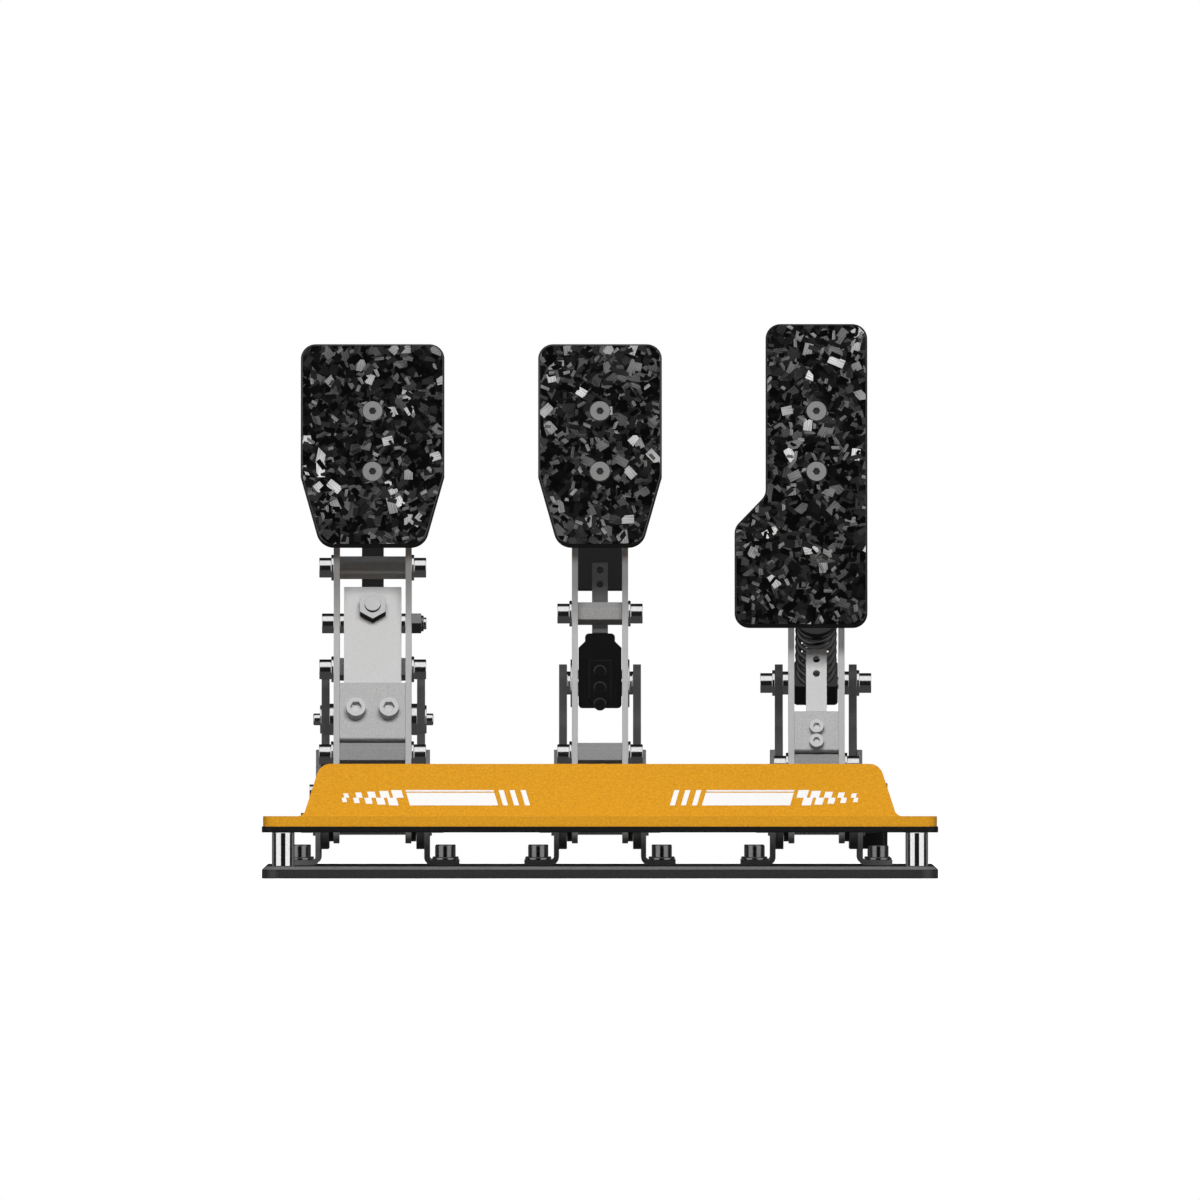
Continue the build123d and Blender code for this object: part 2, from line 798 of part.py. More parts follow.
def hex_spacers(pedal):
    items = []
    inner = pedal["gap"] / 2
    depth = min(hex_bore_depth, inner - overrun)
    for s, n in pedal["hexes"]:
        place = on_arm(s, n)
        bar = Plane(origin=(-inner, place[0], place[1]), x_dir=(0, 1, 0), z_dir=(1, 0, 0)) * hexagon(
            hex_across_flats, 2 * inner, turn=hex_turn)
        for side in (-1, 1):
            bar -= side_frame(inner - depth, place, side) * standing(m6_cap["shank"], depth + overrun)
        items.append(bar)
    return items


def arm_screws(pedal):
    """Screws of the spacers, the channel bracket, the clamp block and the strut pin."""
    items = []
    inner = pedal["gap"] / 2
    outer = arm_half_width(pedal)
    depth = min(hex_bore_depth, inner - overrun)
    for side in (-1, 1):
        for s, n in pedal["hexes"]:
            place = on_arm(s, n)
            items.append(side_frame(outer, place, side) * washer(m6_cap))
            seat = outer + m6_cap["washer_height"]
            items.append(side_frame(seat, place, side) * cap_screw(
                m6_cap, m6_cap["washer_height"] + arm_thickness + depth - seat_gap))
        for place in ear_bolt_places():
            items.append(side_frame(outer, place, side) * cap_screw(
                m5_button, arm_thickness + ear_thickness))
    items += strut_pin(pedal)
    if "block_foot_s" in pedal:
        items += block_screws(pedal)
    return items


def strut_pin(pedal):
    """Through pin of the strut's eye, with its ends and the spacer tubes inside the arms."""
    place = strut_eye(pedal)
    outer = arm_half_width(pedal)
    head = m6_cap["head"]
    pin = x_rod(place, pin_radius, -outer, outer)
    items = []
    if pedal is left_pedal:
        pin += side_frame(outer, place, -1) * cap_screw(m6_cap, arm_thickness)
        pin += side_frame(outer, place, 1) * standing(pin_radius, m6_cap["height"] + lock_nut_proud)
        items.append(side_frame(outer, place, 1) * lock_nut())
    else:
        face = plate_disc_radius if pedal is middle_pedal else head
        for side in (-1, 1):
            pin += side_frame(outer, place, side) * standing(face, plate_disc_thickness)
            pin += side_frame(outer + plate_disc_thickness, place, side) * standing(head, plate_head_height)
    items.append(pin)
    start = pedal["eye_half_width"] + block_side_gap
    if pedal["gap"] / 2 - start > block_side_gap:
        for side in (-1, 1):
            tube = side_frame(start, place, side) * standing(head, pedal["gap"] / 2 - start)
            items.append(tube - x_bore(place, pin_radius, outer))
    return items


def lock_nut():
    """Hexagon nut with the round collar that holds its insert."""
    height = m6_cap["height"]
    body = hexagon(2 * m6_cap["head"], height * lock_nut_hex_share)
    body = body & Cone(m6_cap["head"] * lock_nut_crown_share + height, m6_cap["head"] * lock_nut_crown_share,
                       height, align=(Align.CENTER, Align.CENTER, Align.MIN))
    body += standing(m6_cap["head"] * lock_nut_hex_share, height)
    return body - Pos(0, 0, -overrun) * standing(pin_radius, height + 2 * overrun)


def block_screw_places(pedal):
    """Places (s, x) of the screws on the front of a clamp block, and their kind."""
    foot, top = pedal["block_foot_s"], pedal["block_top_s"]
    if pedal is left_pedal:
        middle = (foot + top) / 2
        return [(middle, -pedal["gap"] / 4), (middle, pedal["gap"] / 4)], m6_cap
    pitch = 2 * m4_cap["head"] + running_gap * 10
    return [(foot + m4_cap["head"] + seat_gap, 0.0), (foot + m4_cap["head"] + seat_gap + pitch, 0.0)], m4_cap


def held_depth(pedal):
    """How deep the clamp screws reach into what the block holds."""
    return cell_thickness if pedal is left_pedal else bar_thickness


def block_screws(pedal):
    places, screw = block_screw_places(pedal)
    length = block_front_n - pedal["block_back_n"] + held_depth(pedal) - seat_gap
    return [leaning_frame(s, block_front_n, x) * cap_screw(screw, length) for s, x in places]


def clamp_block(pedal):
    foot, top = pedal["block_foot_s"], pedal["block_top_s"]
    back = pedal["block_back_n"]
    side = outline([(on_arm(foot, back), 0), (on_arm(top, back), 0),
                    (on_arm(top, block_front_n), bush_flange_gap * 10),
                    (on_arm(foot, block_front_n), bush_flange_gap * 10)])
    block = slab(side, -pedal["gap"] / 2, pedal["gap"])
    places, screw = block_screw_places(pedal)
    for s, x in places:
        block -= leaning_frame(s, block_front_n + overrun, x) * hanging(
            screw["shank"], block_front_n - back + 2 * overrun)
    return block


def load_cell():
    """Bending beam with its double window, held at its foot and tapped for the stud."""
    back = cell_front_n - cell_thickness
    side = outline([(on_arm(cell_foot_s, back), 0), (on_arm(cell_top_s, back), 0),
                    (on_arm(cell_top_s, cell_front_n), 0), (on_arm(cell_foot_s, cell_front_n), 0)])
    beam = slab(side, -cell_half_width, 2 * cell_half_width)
    middle_s = (left_pedal["block_top_s"] + stud_s) / 2
    middle_n = cell_front_n - cell_thickness / 2
    for step in (-1, 1):
        beam -= x_bore(on_arm(middle_s + step * cell_window_spacing, middle_n), cell_window_radius,
                       cell_half_width + overrun)
    neck = outline([(on_arm(middle_s + a * cell_window_spacing, middle_n + b * cell_window_radius / 2), 0)
                    for a, b in ((-1, -1), (1, -1), (1, 1), (-1, 1))])
    beam -= slab(neck, -cell_half_width - overrun, 2 * cell_half_width + 2 * overrun)
    places, screw = block_screw_places(left_pedal)
    for s, x in places:
        beam -= leaning_frame(s, cell_front_n + overrun, x) * hanging(
            screw["shank"], cell_thickness + 2 * overrun)
    beam -= leaning_frame(stud_s, cell_front_n + overrun) * hanging(
        stud_radius, cell_thickness + 2 * overrun)
    return beam


def load_stud():
    stud = leaning_frame(stud_s, cell_front_n + stud_proud) * hanging(
        stud_radius, stud_proud + cell_thickness)
    nut = leaning_frame(stud_s, cell_front_n) * hexagon(stud_nut_across_flats, stud_nut_height, turn=30)
    nut -= leaning_frame(stud_s, cell_front_n - overrun) * standing(
        stud_radius, stud_nut_height + 2 * overrun)
    return [stud, nut]


def sensor_bar(pedal):
    front = pedal["bar_front_n"]
    foot, top = pedal["bar_foot_s"], pedal["bar_top_s"]
    side = outline([(on_arm(foot, front - bar_thickness), 0), (on_arm(top, front - bar_thickness), 0),
                    (on_arm(top, front), 0), (on_arm(foot, front), 0)])
    half = pedal["bar_half_width"]
    bar = slab(side, -half, 2 * half)
    for step in (0, 1):
        s = top - pedal["bar_half_width"] - step * bar_hole_spacing
        bar -= leaning_frame(s, front + overrun) * hanging(bar_hole_radius, bar_thickness + 2 * overrun)
    if "block_foot_s" in pedal:
        places, screw = block_screw_places(pedal)
        for s, x in places:
            bar -= leaning_frame(s, front + overrun, x) * hanging(
                screw["shank"], bar_thickness + 2 * overrun)
    return bar


def rear_brace(pedal):
    """Cross plate between the arms, with a tongue hanging below it."""
    lean = radians(face_lean)
    foot, top = pedal["brace_foot_t"], pedal["brace_top_t"]
    stages = [(pedal["gap"], foot, top), (pedal["tongue_width"], tongue_foot_t, foot)]
    plate = Part()
    for width, low, high in stages:
        y, z = on_face((low + high) / 2, pedal["brace_depth"])
        frame = Plane(origin=(0, y, z), x_dir=(1, 0, 0), z_dir=(0, cos(lean), -sin(lean)))
        plate += frame * extrude(Rectangle(width, high - low), brace_thickness)
    return plate


def face_bracket(pedal):
    """Channel: a web behind the foot plate and an ear inside each arm."""
    outer = arm_half_width(pedal)
    inner = pedal["gap"] / 2
    front, back = face_thickness, face_thickness + web_thickness
    web = slab(outline([(on_face(web_foot_t, front), 0), (on_face(arm_top_t, front), 0),
                        (on_face(arm_top_t, back), 0), (on_face(web_foot_t, back), 0)]), -outer, 2 * outer)
    ear = outline([(on_face(ear_foot_t, front), 0), (on_face(ear_top_t, front), 0),
                   (on_face(ear_top_t, back + ear_depth), ear_depth / 3),
                   (on_face(ear_foot_t, back + ear_depth), ear_depth / 3)])
    channel = web
    for plate in pair(ear, inner - ear_thickness, ear_thickness):
        channel += plate
    for t in (face_screw_low_t, face_screw_high_t):
        channel -= face_frame(t, front - overrun) * hanging(m5_flat["shank"], web_thickness + 2 * overrun)
    for place in ear_bolt_places():
        channel -= x_bore(place, m5_button["shank"], outer + overrun)
    return channel


def face_outline(pedal):
    """Outline of a foot plate in its own plane: across X, and up from the foot of the short plates."""
    half = pedal["face_half_width"]
    top = pedal["face_height"]
    if pedal is right_pedal:
        foot = pedal["face_foot_t"]
        heel = pedal["face_heel_half_width"]
        return outline([
            ((-heel, foot), face_corner), ((half, foot), face_corner),
            ((half, top), face_corner), ((-half, top), face_corner),
            ((-half, heel_step_top_t), face_corner), ((-heel, heel_step_foot_t), face_corner),
        ])
    foot_half = pedal["face_foot_half_width"]
    taper = pedal["face_taper_t"]
    return outline([
        ((-foot_half, 0), face_foot_corner), ((foot_half, 0), face_foot_corner),
        ((half, taper), face_corner / 2), ((half, top), face_corner),
        ((-half, top), face_corner), ((-half, taper), face_corner / 2),
    ])


def face_plate(pedal):
    plate = extrude(face_outline(pedal), -face_thickness)
    plate = chamfer(plate.edges().group_by(Axis.Z)[-1], face_edge_chamfer)
    for t in (face_screw_low_t, face_screw_high_t):
        plate -= Pos(0, t, 0) * flat_recess(m5_flat, face_thickness + overrun, countersink_ring)
    return face_frame(0, 0) * plate


def face_screws():
    length = face_thickness + web_thickness
    return [face_frame(t, 0) * flat_screw(m5_flat, length) for t in (face_screw_low_t, face_screw_high_t)]


# Struts


def strut_axis(pedal):
    """Start (y, z), direction (y, z) and length from the eye to the trunnion."""
    start = strut_eye(pedal)
    across = pedal["trunnion_y"] - start[0]
    up = pedal["trunnion_z"] - start[1]
    length = hypot(across, up)
    return start, (across / length, up / length), length


def strut_frame(pedal, along=0.0):
    start, way, length = strut_axis(pedal)
    return Plane(origin=(0, start[0] + along * way[0], start[1] + along * way[1]),
                 x_dir=(1, 0, 0), z_dir=(0, way[0], way[1]))


def strut_rod(pedal):
    """Eye, rod and spring collar in one piece, with its tail nut behind the swivel block."""
    start, way, length = strut_axis(pedal)
    total = length + block_half_length + rod_tail
    rod = strut_frame(pedal) * standing(rod_radius, total)
    rod += strut_frame(pedal, collar_start) * standing(collar_radius, collar_thickness)
    if pedal is not middle_pedal:
        half = pedal["eye_half_width"]
        rod += x_rod(start, eye_radius, -half, half)
        rod -= x_bore(start, pin_radius + open_pivot_gap, half + overrun)
    else:
        rod = strut_frame(pedal, cartridge_back) * standing(rod_radius, total - cartridge_back)
        rod += strut_frame(pedal, cartridge_back) * standing(collar_radius, collar_thickness)
    if pedal is right_pedal:
        rod += strut_frame(pedal, collar_start) * standing(sleeve_radius, collar_thickness + sleeve_length)
    at = length + block_half_length + seat_gap
    nut = strut_frame(pedal, at) * hexagon(tail_nut_across_flats, tail_nut_length)
    nut -= strut_frame(pedal, at - overrun) * standing(rod_radius, tail_nut_length + 2 * overrun)
    return [rod, nut]


def cartridge():
    """Moulded black body round the front end of the middle strut."""
    half = middle_pedal["eye_half_width"]
    shape = outline([
        ((-half, cartridge_foot), cartridge_corner), ((half, cartridge_foot), cartridge_corner),
        ((half, -cartridge_top + cartridge_shoulder), 0),
        ((cartridge_neck_half_width, -cartridge_top + cartridge_neck), 0),
        ((cartridge_neck_half_width, -cartridge_top), cartridge_corner),
        ((-cartridge_neck_half_width, -cartridge_top), cartridge_corner),
        ((-cartridge_neck_half_width, -cartridge_top + cartridge_neck), 0),
        ((-half, -cartridge_top + cartridge_shoulder), 0),
    ])
    body = strut_frame(middle_pedal, -cartridge_front) * extrude(shape, cartridge_front + cartridge_back)
    boss_half = cartridge_boss_half_width
    tall = cartridge_boss_height / 2
    cut = boss_half / 2
    boss = outline([
        ((-boss_half, tall - cut), 0), ((-cut, tall), 0), ((cut, tall), 0), ((boss_half, tall - cut), 0),
        ((boss_half, -tall), 0), ((-boss_half, -tall), 0),
    ])
    lift = cartridge_boss_height / 2 - cartridge_foot + cartridge_corner
    front = strut_frame(middle_pedal, -cartridge_front - cartridge_boss_depth)
    body += front * extrude(Pos(0, -lift, 0) * boss, cartridge_boss_depth)
    for step in range(cartridge_button_count):
        button = Pos(0, -lift - tall / 2 + step * tall * 0.75, -cartridge_button_depth) * standing(
            cartridge_button_radius, cartridge_button_depth)
        button = chamfer(button.edges().group_by(Axis.Z)[0], cartridge_button_depth / 2)
        body += front * button
    start, way, length = strut_axis(middle_pedal)
    return body - x_bore(start, pin_radius + open_pivot_gap, half + overrun)


def swivel_block(pedal):
    """Block on the trunnion bolts, bored for the sliding rod."""
    start, way, length = strut_axis(pedal)
    half = pedal["gap"] / 2
    body = strut_frame(pedal, length - block_half_length) * extrude(
        RectangleRounded(2 * half, 2 * block_half_height, cartridge_corner), 2 * block_half_length)
    body -= strut_frame(pedal, length - block_half_length - overrun) * standing(
        rod_radius + running_gap, 2 * block_half_length + 2 * overrun)
    place = (pedal["trunnion_y"], pedal["trunnion_z"])
    for side in (-1, 1):
        body -= side_frame(trunnion_reach - seat_gap, place, side) * standing(
            trunnion_radius + running_gap, half)
    return body


def spring_span(pedal):
    """Start along the strut and free length of the spring or stack."""
    start, way, length = strut_axis(pedal)
    collar = cartridge_back if pedal is middle_pedal else collar_start
    first = collar + collar_thickness
    return first, length - block_half_length - first


def coil_arcs(length):
    """Two circular arcs for each half turn of a helix about Z."""
    inner = length - 2 * wire_radius - 2 * seat_gap
    rise = inner / coil_turns
    steps = 2 * coil_turns
    climb = rise / (2 * pi)

    def point(angle):
        return Vector(coil_radius * cos(angle), coil_radius * sin(angle), climb * angle)

    def tangent(angle):
        return Vector(-coil_radius * sin(angle), coil_radius * cos(angle), climb).normalized()

    arcs = []
    for step in range(steps):
        here, there = step * pi, (step + 1) * pi
        p0, p1, t0, t1 = point(here), point(there), tangent(here), tangent(there)
        gap = p1 - p0
        both = t0 + t1
        turn = 2 * (1 - t0.dot(t1))
        reach = (sqrt(gap.dot(both) ** 2 + turn * gap.dot(gap)) - gap.dot(both)) / turn
        q0, q1 = p0 + t0 * reach, p1 - t1 * reach
        joint = (q0 + q1) * 0.5
        arcs.append(Edge.make_tangent_arc(p0, t0, joint))
        arcs.append(Edge.make_tangent_arc(joint, (q1 - q0).normalized(), p1))
    return arcs, rise


def coil_spring(pedal):
    """Round-wire spring on the rod, from its collar to the swivel block."""
    first, length = spring_span(pedal)
    arcs, rise = coil_arcs(length)
    path = Wire(arcs)
    section = Plane(origin=path @ 0, z_dir=path % 0) * Circle(wire_radius)
    wire = sweep(section, path=path)
    print(f"{pedal['name']} spring: {coil_turns} turns, least gap {rise - 2 * wire_radius:.2f} mm")
    return strut_frame(pedal, first + wire_radius + seat_gap) * wire


def stack_pucks():
    first, length = spring_span(left_pedal)
    share = (length - (puck_count + 1) * disc_thickness) / puck_count
    pucks, discs = [], []
    for step in range(puck_count + 1):
        at = first + step * (share + disc_thickness)
        disc = strut_frame(left_pedal, at) * standing(disc_radius, disc_thickness)
        discs.append(disc - strut_frame(left_pedal, at - overrun) * standing(
            rod_radius, disc_thickness + 2 * overrun))
        if step < puck_count:
            body = standing(puck_radius, share) - Pos(0, 0, -overrun) * standing(
                rod_radius + seat_gap, share + 2 * overrun)
            rim = body.edges().filter_by(GeomType.CIRCLE).group_by(SortBy.LENGTH)[-1]
            body = fillet(rim, share / 4)
            pucks.append(strut_frame(left_pedal, at + disc_thickness) * body)
    return pucks, discs


def build():
    save("base_plate", [base_plate()])
    save("heel_deck", [heel_deck()])
    save("heel_plate", [heel_plate()])
    save("deck_posts", posts())
    save("cover_screws", cover_screws())
    save("bracket_bolts", bracket_bolts())
    save("upright_bolts", upright_bolts())
    save("trunnion_bolts", trunnion_bolts())
    save("pivot_axles", pivot_axles())
    save("pivot_screws", pivot_screws())
    save("controller_box", [controller_box()])
    save("controller_lid", [controller_lid()])
    save("usb_socket", [usb_socket()])
    for pedal in pedals:
        name, x = pedal["name"], pedal["x"]
        save(f"{name}_side_brackets", side_brackets(pedal), x)
        save(f"{name}_uprights", uprights(pedal), x)
        save(f"{name}_arms", arms(pedal), x)
        save(f"{name}_pivot_bushes", pivot_bushes(pedal), x)
        save(f"{name}_hex_spacers", hex_spacers(pedal), x)
        save(f"{name}_arm_screws", arm_screws(pedal), x)
        save(f"{name}_face_bracket", [face_bracket(pedal)], x)
        save(f"{name}_face_plate", [face_plate(pedal)], x)
        save(f"{name}_face_screws", face_screws(), x)
        save(f"{name}_strut_rod", strut_rod(pedal), x)
        save(f"{name}_swivel_block", [swivel_block(pedal)], x)
    for pedal in (left_pedal, right_pedal):
        save(f"{pedal['name']}_clamp_block", [clamp_block(pedal)], pedal["x"])
    for pedal in (middle_pedal, right_pedal):
        save(f"{pedal['name']}_sensor_bar", [sensor_bar(pedal)], pedal["x"])
        save(f"{pedal['name']}_spring", [coil_spring(pedal)], pedal["x"])
    for pedal in (left_pedal, middle_pedal):
        save(f"{pedal['name']}_rear_brace", [rear_brace(pedal)], pedal["x"])
    save("left_load_cell", [load_cell()], left_pedal["x"])
    save("left_load_stud", load_stud(), left_pedal["x"])
    pucks, discs = stack_pucks()
    save("left_elastomers", pucks, left_pedal["x"])
    save("left_stack_discs", discs, left_pedal["x"])
    save("middle_cartridge", [cartridge()], middle_pedal["x"])


build()
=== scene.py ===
import json
import math

import bmesh
import bpy
from mathutils import Matrix, Vector

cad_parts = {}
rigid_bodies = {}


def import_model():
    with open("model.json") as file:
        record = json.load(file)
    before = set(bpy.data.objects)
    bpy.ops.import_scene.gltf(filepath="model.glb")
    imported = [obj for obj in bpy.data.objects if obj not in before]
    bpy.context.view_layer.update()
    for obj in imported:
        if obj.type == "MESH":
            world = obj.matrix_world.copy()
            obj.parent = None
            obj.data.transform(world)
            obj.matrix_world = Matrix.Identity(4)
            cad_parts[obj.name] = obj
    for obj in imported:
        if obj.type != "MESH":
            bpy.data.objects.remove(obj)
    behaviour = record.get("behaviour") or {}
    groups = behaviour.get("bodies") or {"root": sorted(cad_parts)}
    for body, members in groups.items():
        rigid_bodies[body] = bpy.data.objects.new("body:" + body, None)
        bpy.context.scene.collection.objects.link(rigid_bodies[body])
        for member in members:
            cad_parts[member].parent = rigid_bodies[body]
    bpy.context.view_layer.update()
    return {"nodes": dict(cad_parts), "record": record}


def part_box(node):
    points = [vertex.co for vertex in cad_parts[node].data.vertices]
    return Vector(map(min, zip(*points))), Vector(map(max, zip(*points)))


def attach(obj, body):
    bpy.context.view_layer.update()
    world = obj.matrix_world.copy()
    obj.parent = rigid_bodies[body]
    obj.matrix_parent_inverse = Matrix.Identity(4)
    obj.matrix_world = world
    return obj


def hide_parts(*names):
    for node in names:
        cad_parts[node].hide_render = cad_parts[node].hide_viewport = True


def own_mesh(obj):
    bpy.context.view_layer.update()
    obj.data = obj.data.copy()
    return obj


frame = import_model()
nodes = frame["nodes"]
scene = bpy.context.scene
scene.view_settings.view_transform = "Standard"
print("frame loaded:", len(nodes), "nodes")

pedals = {  # middle of each pedal across, strut eye and trunnion from the side, and the rod's travel
    "left": {"x": -0.114, "eye": (0.0493338, 0.1269977), "trunnion": (0.112, 0.0787), "travel": 0.011809},
    "middle": {"x": 0.0, "eye": (0.0314947, 0.0969886), "trunnion": (0.107, 0.097), "travel": 0.015802},
    "right": {"x": 0.1085, "eye": (0.0526174, 0.1360190), "trunnion": (0.107, 0.097), "travel": 0.029731},
}
faceLean = math.radians(12)
faceNormal = Vector((0, -math.cos(faceLean), math.sin(faceLean)))
armLean = math.radians(20)
armNormal = Vector((0, -math.cos(armLean), math.sin(armLean)))
upArm = Vector((0, math.sin(armLean), math.cos(armLean)))

# Camera far in front with a long lens, because the photograph is nearly without perspective
camera = {"distance": 27.0, "lens": 1617.0, "sensor": 36, "height": 0.13875, "sees": 60}
cameraData = bpy.data.cameras.new("frontCamera")
cameraData.lens = camera["lens"]
cameraData.sensor_width = camera["sensor"]
cameraData.clip_end = camera["sees"]
frontCamera = bpy.data.objects.new("frontCamera", cameraData)
frontCamera.location = (0, -camera["distance"], camera["height"])
frontCamera.rotation_euler = (math.radians(90), 0, 0)
scene.collection.objects.link(frontCamera)
scene.camera = frontCamera

lamps = {  # place, size across and up, watts
    "keyAbove": {"at": (0.0, -1.80, 1.20), "size": (1.3, 0.5), "power": 46},
    "sideLeft": {"at": (-1.9, 0.7, 0.6), "size": (0.8, 0.8), "power": 6},
    "sideRight": {"at": (1.9, 0.7, 0.6), "size": (0.8, 0.8), "power": 6},
    "backAbove": {"at": (0.0, 1.5, 1.4), "size": (1.6, 0.8), "power": 20},
}
lampAim = Vector((0, 0, 0.12))
for name, lamp in lamps.items():
    data = bpy.data.lights.new(name, "AREA")
    data.shape = "RECTANGLE"
    data.size, data.size_y = lamp["size"]
    data.energy = lamp["power"]
    holder = bpy.data.objects.new(name, data)
    holder.location = lamp["at"]
    holder.rotation_euler = (lampAim - Vector(lamp["at"])).to_track_quat("-Z", "Y").to_euler()
    holder.visible_glossy = False
    scene.collection.objects.link(holder)
print("camera and lamps ready")


# Short ways to add a shader node, join two and do sums
def newNode(tree, kind, at=(0, 0), **values):
    node = tree.nodes.new(kind)
    node.location = at
    for key, value in values.items():
        setattr(node, key, value)
    return node


def join(tree, source, target):
    tree.links.new(source, target)


def mathNode(tree, operation, first, second=None, third=None, at=(0, 0)):
    node = newNode(tree, "ShaderNodeMath", at, operation=operation)
    for slot, value in enumerate((first, second, third)):
        if value is None:
            continue
        if isinstance(value, (int, float)):
            node.inputs[slot].default_value = value
        else:
            join(tree, value, node.inputs[slot])
    return node.outputs[0]


def rangeNode(tree, value, at=(0, 0), **limits):
    node = newNode(tree, "ShaderNodeMapRange", at)
    for key, limit in limits.items():
        if isinstance(limit, (int, float)):
            node.inputs[key.replace("_", " ")].default_value = limit
        else:
            join(tree, limit, node.inputs[key.replace("_", " ")])
    join(tree, value, node.inputs["Value"])
    return node.outputs["Result"]

# Plain white behind the object, and a weak light on it from all sides
studio = {"light": 0.07, "white": 1.0}


def makeWorld():
    world = bpy.data.worlds.new("studio")
    world.use_nodes = True
    scene.world = world
    tree = world.node_tree
    tree.nodes.clear()
    out = newNode(tree, "ShaderNodeOutputWorld", (600, 0))
    mix = newNode(tree, "ShaderNodeMixShader", (400, 0))
    path = newNode(tree, "ShaderNodeLightPath", (-200, 200))
    cameraRay, glossyRay = path.outputs["Is Camera Ray"], path.outputs["Is Glossy Ray"]
    seen = mathNode(tree, "MAXIMUM", cameraRay, glossyRay, at=(0, 200))
    seenToo = mathNode(tree, "MAXIMUM", seen, path.outputs["Is Transmission Ray"], at=(200, 200))
    join(tree, seenToo, mix.inputs[0])
    for slot, key in ((1, "light"), (2, "white")):
        sky = newNode(tree, "ShaderNodeBackground", (200, 200 - 200 * slot))
        sky.inputs["Color"].default_value = (1, 1, 1, 1)
        sky.inputs["Strength"].default_value = studio[key]
        join(tree, sky.outputs[0], mix.inputs[slot])
    join(tree, mix.outputs[0], out.inputs[0])


makeWorld()

# Soft boxes that only metal and gloss reflect: a dome with bright windows, in degrees up and round
softBoxes = {"radius": 4.0, "topLow": 30, "topHigh": 97, "sideNear": 23, "sideFar": 74, "sideRise": 26,
             "dark": 0.012, "bright": 1.0, "behind": 0.12, "below": 0.05, "belowRise": -0.45, "fade": 0.1,
             "segments": (48, 24)}


def makeDome():
    bm = bmesh.new()
    around, upwards = softBoxes["segments"]
    bmesh.ops.create_uvsphere(bm, u_segments=around, v_segments=upwards, radius=softBoxes["radius"])
    bmesh.ops.reverse_faces(bm, faces=bm.faces)
    mesh = bpy.data.meshes.new("softBoxDome")
    bm.to_mesh(mesh)
    bm.free()
    dome = bpy.data.objects.new("softBoxDome", mesh)
    scene.collection.objects.link(dome)
    for ray in ("camera", "diffuse", "transmission", "shadow", "volume_scatter"):
        setattr(dome, "visible_" + ray, False)
    mesh.materials.append(domeMaterial())


def domeMaterial():
    material = bpy.data.materials.new("softBoxes")
    material.use_nodes = True
    tree = material.node_tree
    tree.nodes.clear()
    out = newNode(tree, "ShaderNodeOutputMaterial", (900, 0))
    glow = newNode(tree, "ShaderNodeEmission", (700, 0))
    coords = newNode(tree, "ShaderNodeTexCoord", (-900, 0))
    unit = newNode(tree, "ShaderNodeVectorMath", (-700, 0), operation="NORMALIZE")
    parts = newNode(tree, "ShaderNodeSeparateXYZ", (-500, 0))
    join(tree, coords.outputs["Object"], unit.inputs[0])
    join(tree, unit.outputs[0], parts.inputs[0])
    across, depth, rise = parts.outputs
    front = mathNode(tree, "MULTIPLY", depth, -1.0)
    climb = mathNode(tree, "DEGREES", mathNode(tree, "ARCTAN2", rise, front))
    inTop = between(tree, climb, softBoxes["topLow"], softBoxes["topHigh"])
    wide = mathNode(tree, "ABSOLUTE", across)
    deep = mathNode(tree, "ABSOLUTE", depth)
    aside = mathNode(tree, "DEGREES", mathNode(tree, "ARCTAN2", wide, deep))
    level = mathNode(tree, "DEGREES", mathNode(tree, "ARCSINE", mathNode(tree, "ABSOLUTE", rise)))
    inSide = mathNode(tree, "MULTIPLY", between(tree, aside, softBoxes["sideNear"], softBoxes["sideFar"]),
                      mathNode(tree, "LESS_THAN", level, softBoxes["sideRise"]))
    boxes = mathNode(tree, "MAXIMUM", inTop, inSide)
    faded = rangeNode(tree, front, (300, -200), From_Min=-softBoxes["fade"], From_Max=softBoxes["fade"],
                      To_Min=softBoxes["behind"], To_Max=softBoxes["bright"])
    under = mathNode(tree, "LESS_THAN", rise, softBoxes["belowRise"])
    lit = mathNode(tree, "ADD", mathNode(tree, "MULTIPLY", boxes, faded),
                   mathNode(tree, "MULTIPLY", under, softBoxes["below"]))
    join(tree, mathNode(tree, "ADD", lit, softBoxes["dark"]), glow.inputs["Strength"])
    join(tree, glow.outputs[0], out.inputs[0])
    return material


def between(tree, value, low, high):
    return mathNode(tree, "MULTIPLY", mathNode(tree, "GREATER_THAN", value, low),
                    mathNode(tree, "LESS_THAN", value, high))


# Shader groups shared by several finishes
def newGroup(name, inputs, outputs):
    group = bpy.data.node_groups.new(name, "ShaderNodeTree")
    for socketName, kind, value in inputs:
        socket = group.interface.new_socket(socketName, in_out="INPUT", socket_type="NodeSocket" + kind)
        if value is not None:
            socket.default_value = value
    for socketName, kind in outputs:
        group.interface.new_socket(socketName, in_out="OUTPUT", socket_type="NodeSocket" + kind)
    return group, newNode(group, "NodeGroupInput", (-900, 0)), newNode(group, "NodeGroupOutput", (900, 0))


def noiseNode(tree, vector, at, scale=1, detail=3, roughness=0.5):
    noise = newNode(tree, "ShaderNodeTexNoise", at)
    noise.inputs["Scale"].default_value = scale
    noise.inputs["Detail"].default_value = detail
    noise.inputs["Roughness"].default_value = roughness
    join(tree, vector, noise.inputs["Vector"])
    return noise


# Grain of powder coat and blasted metal, with a slow drift of its tone
speck = {"roughness": 0.65, "darkest": 0.3, "palest": 0.7, "driftScale": 14, "shineSpread": 0.3,
         "leastShine": 0.85}


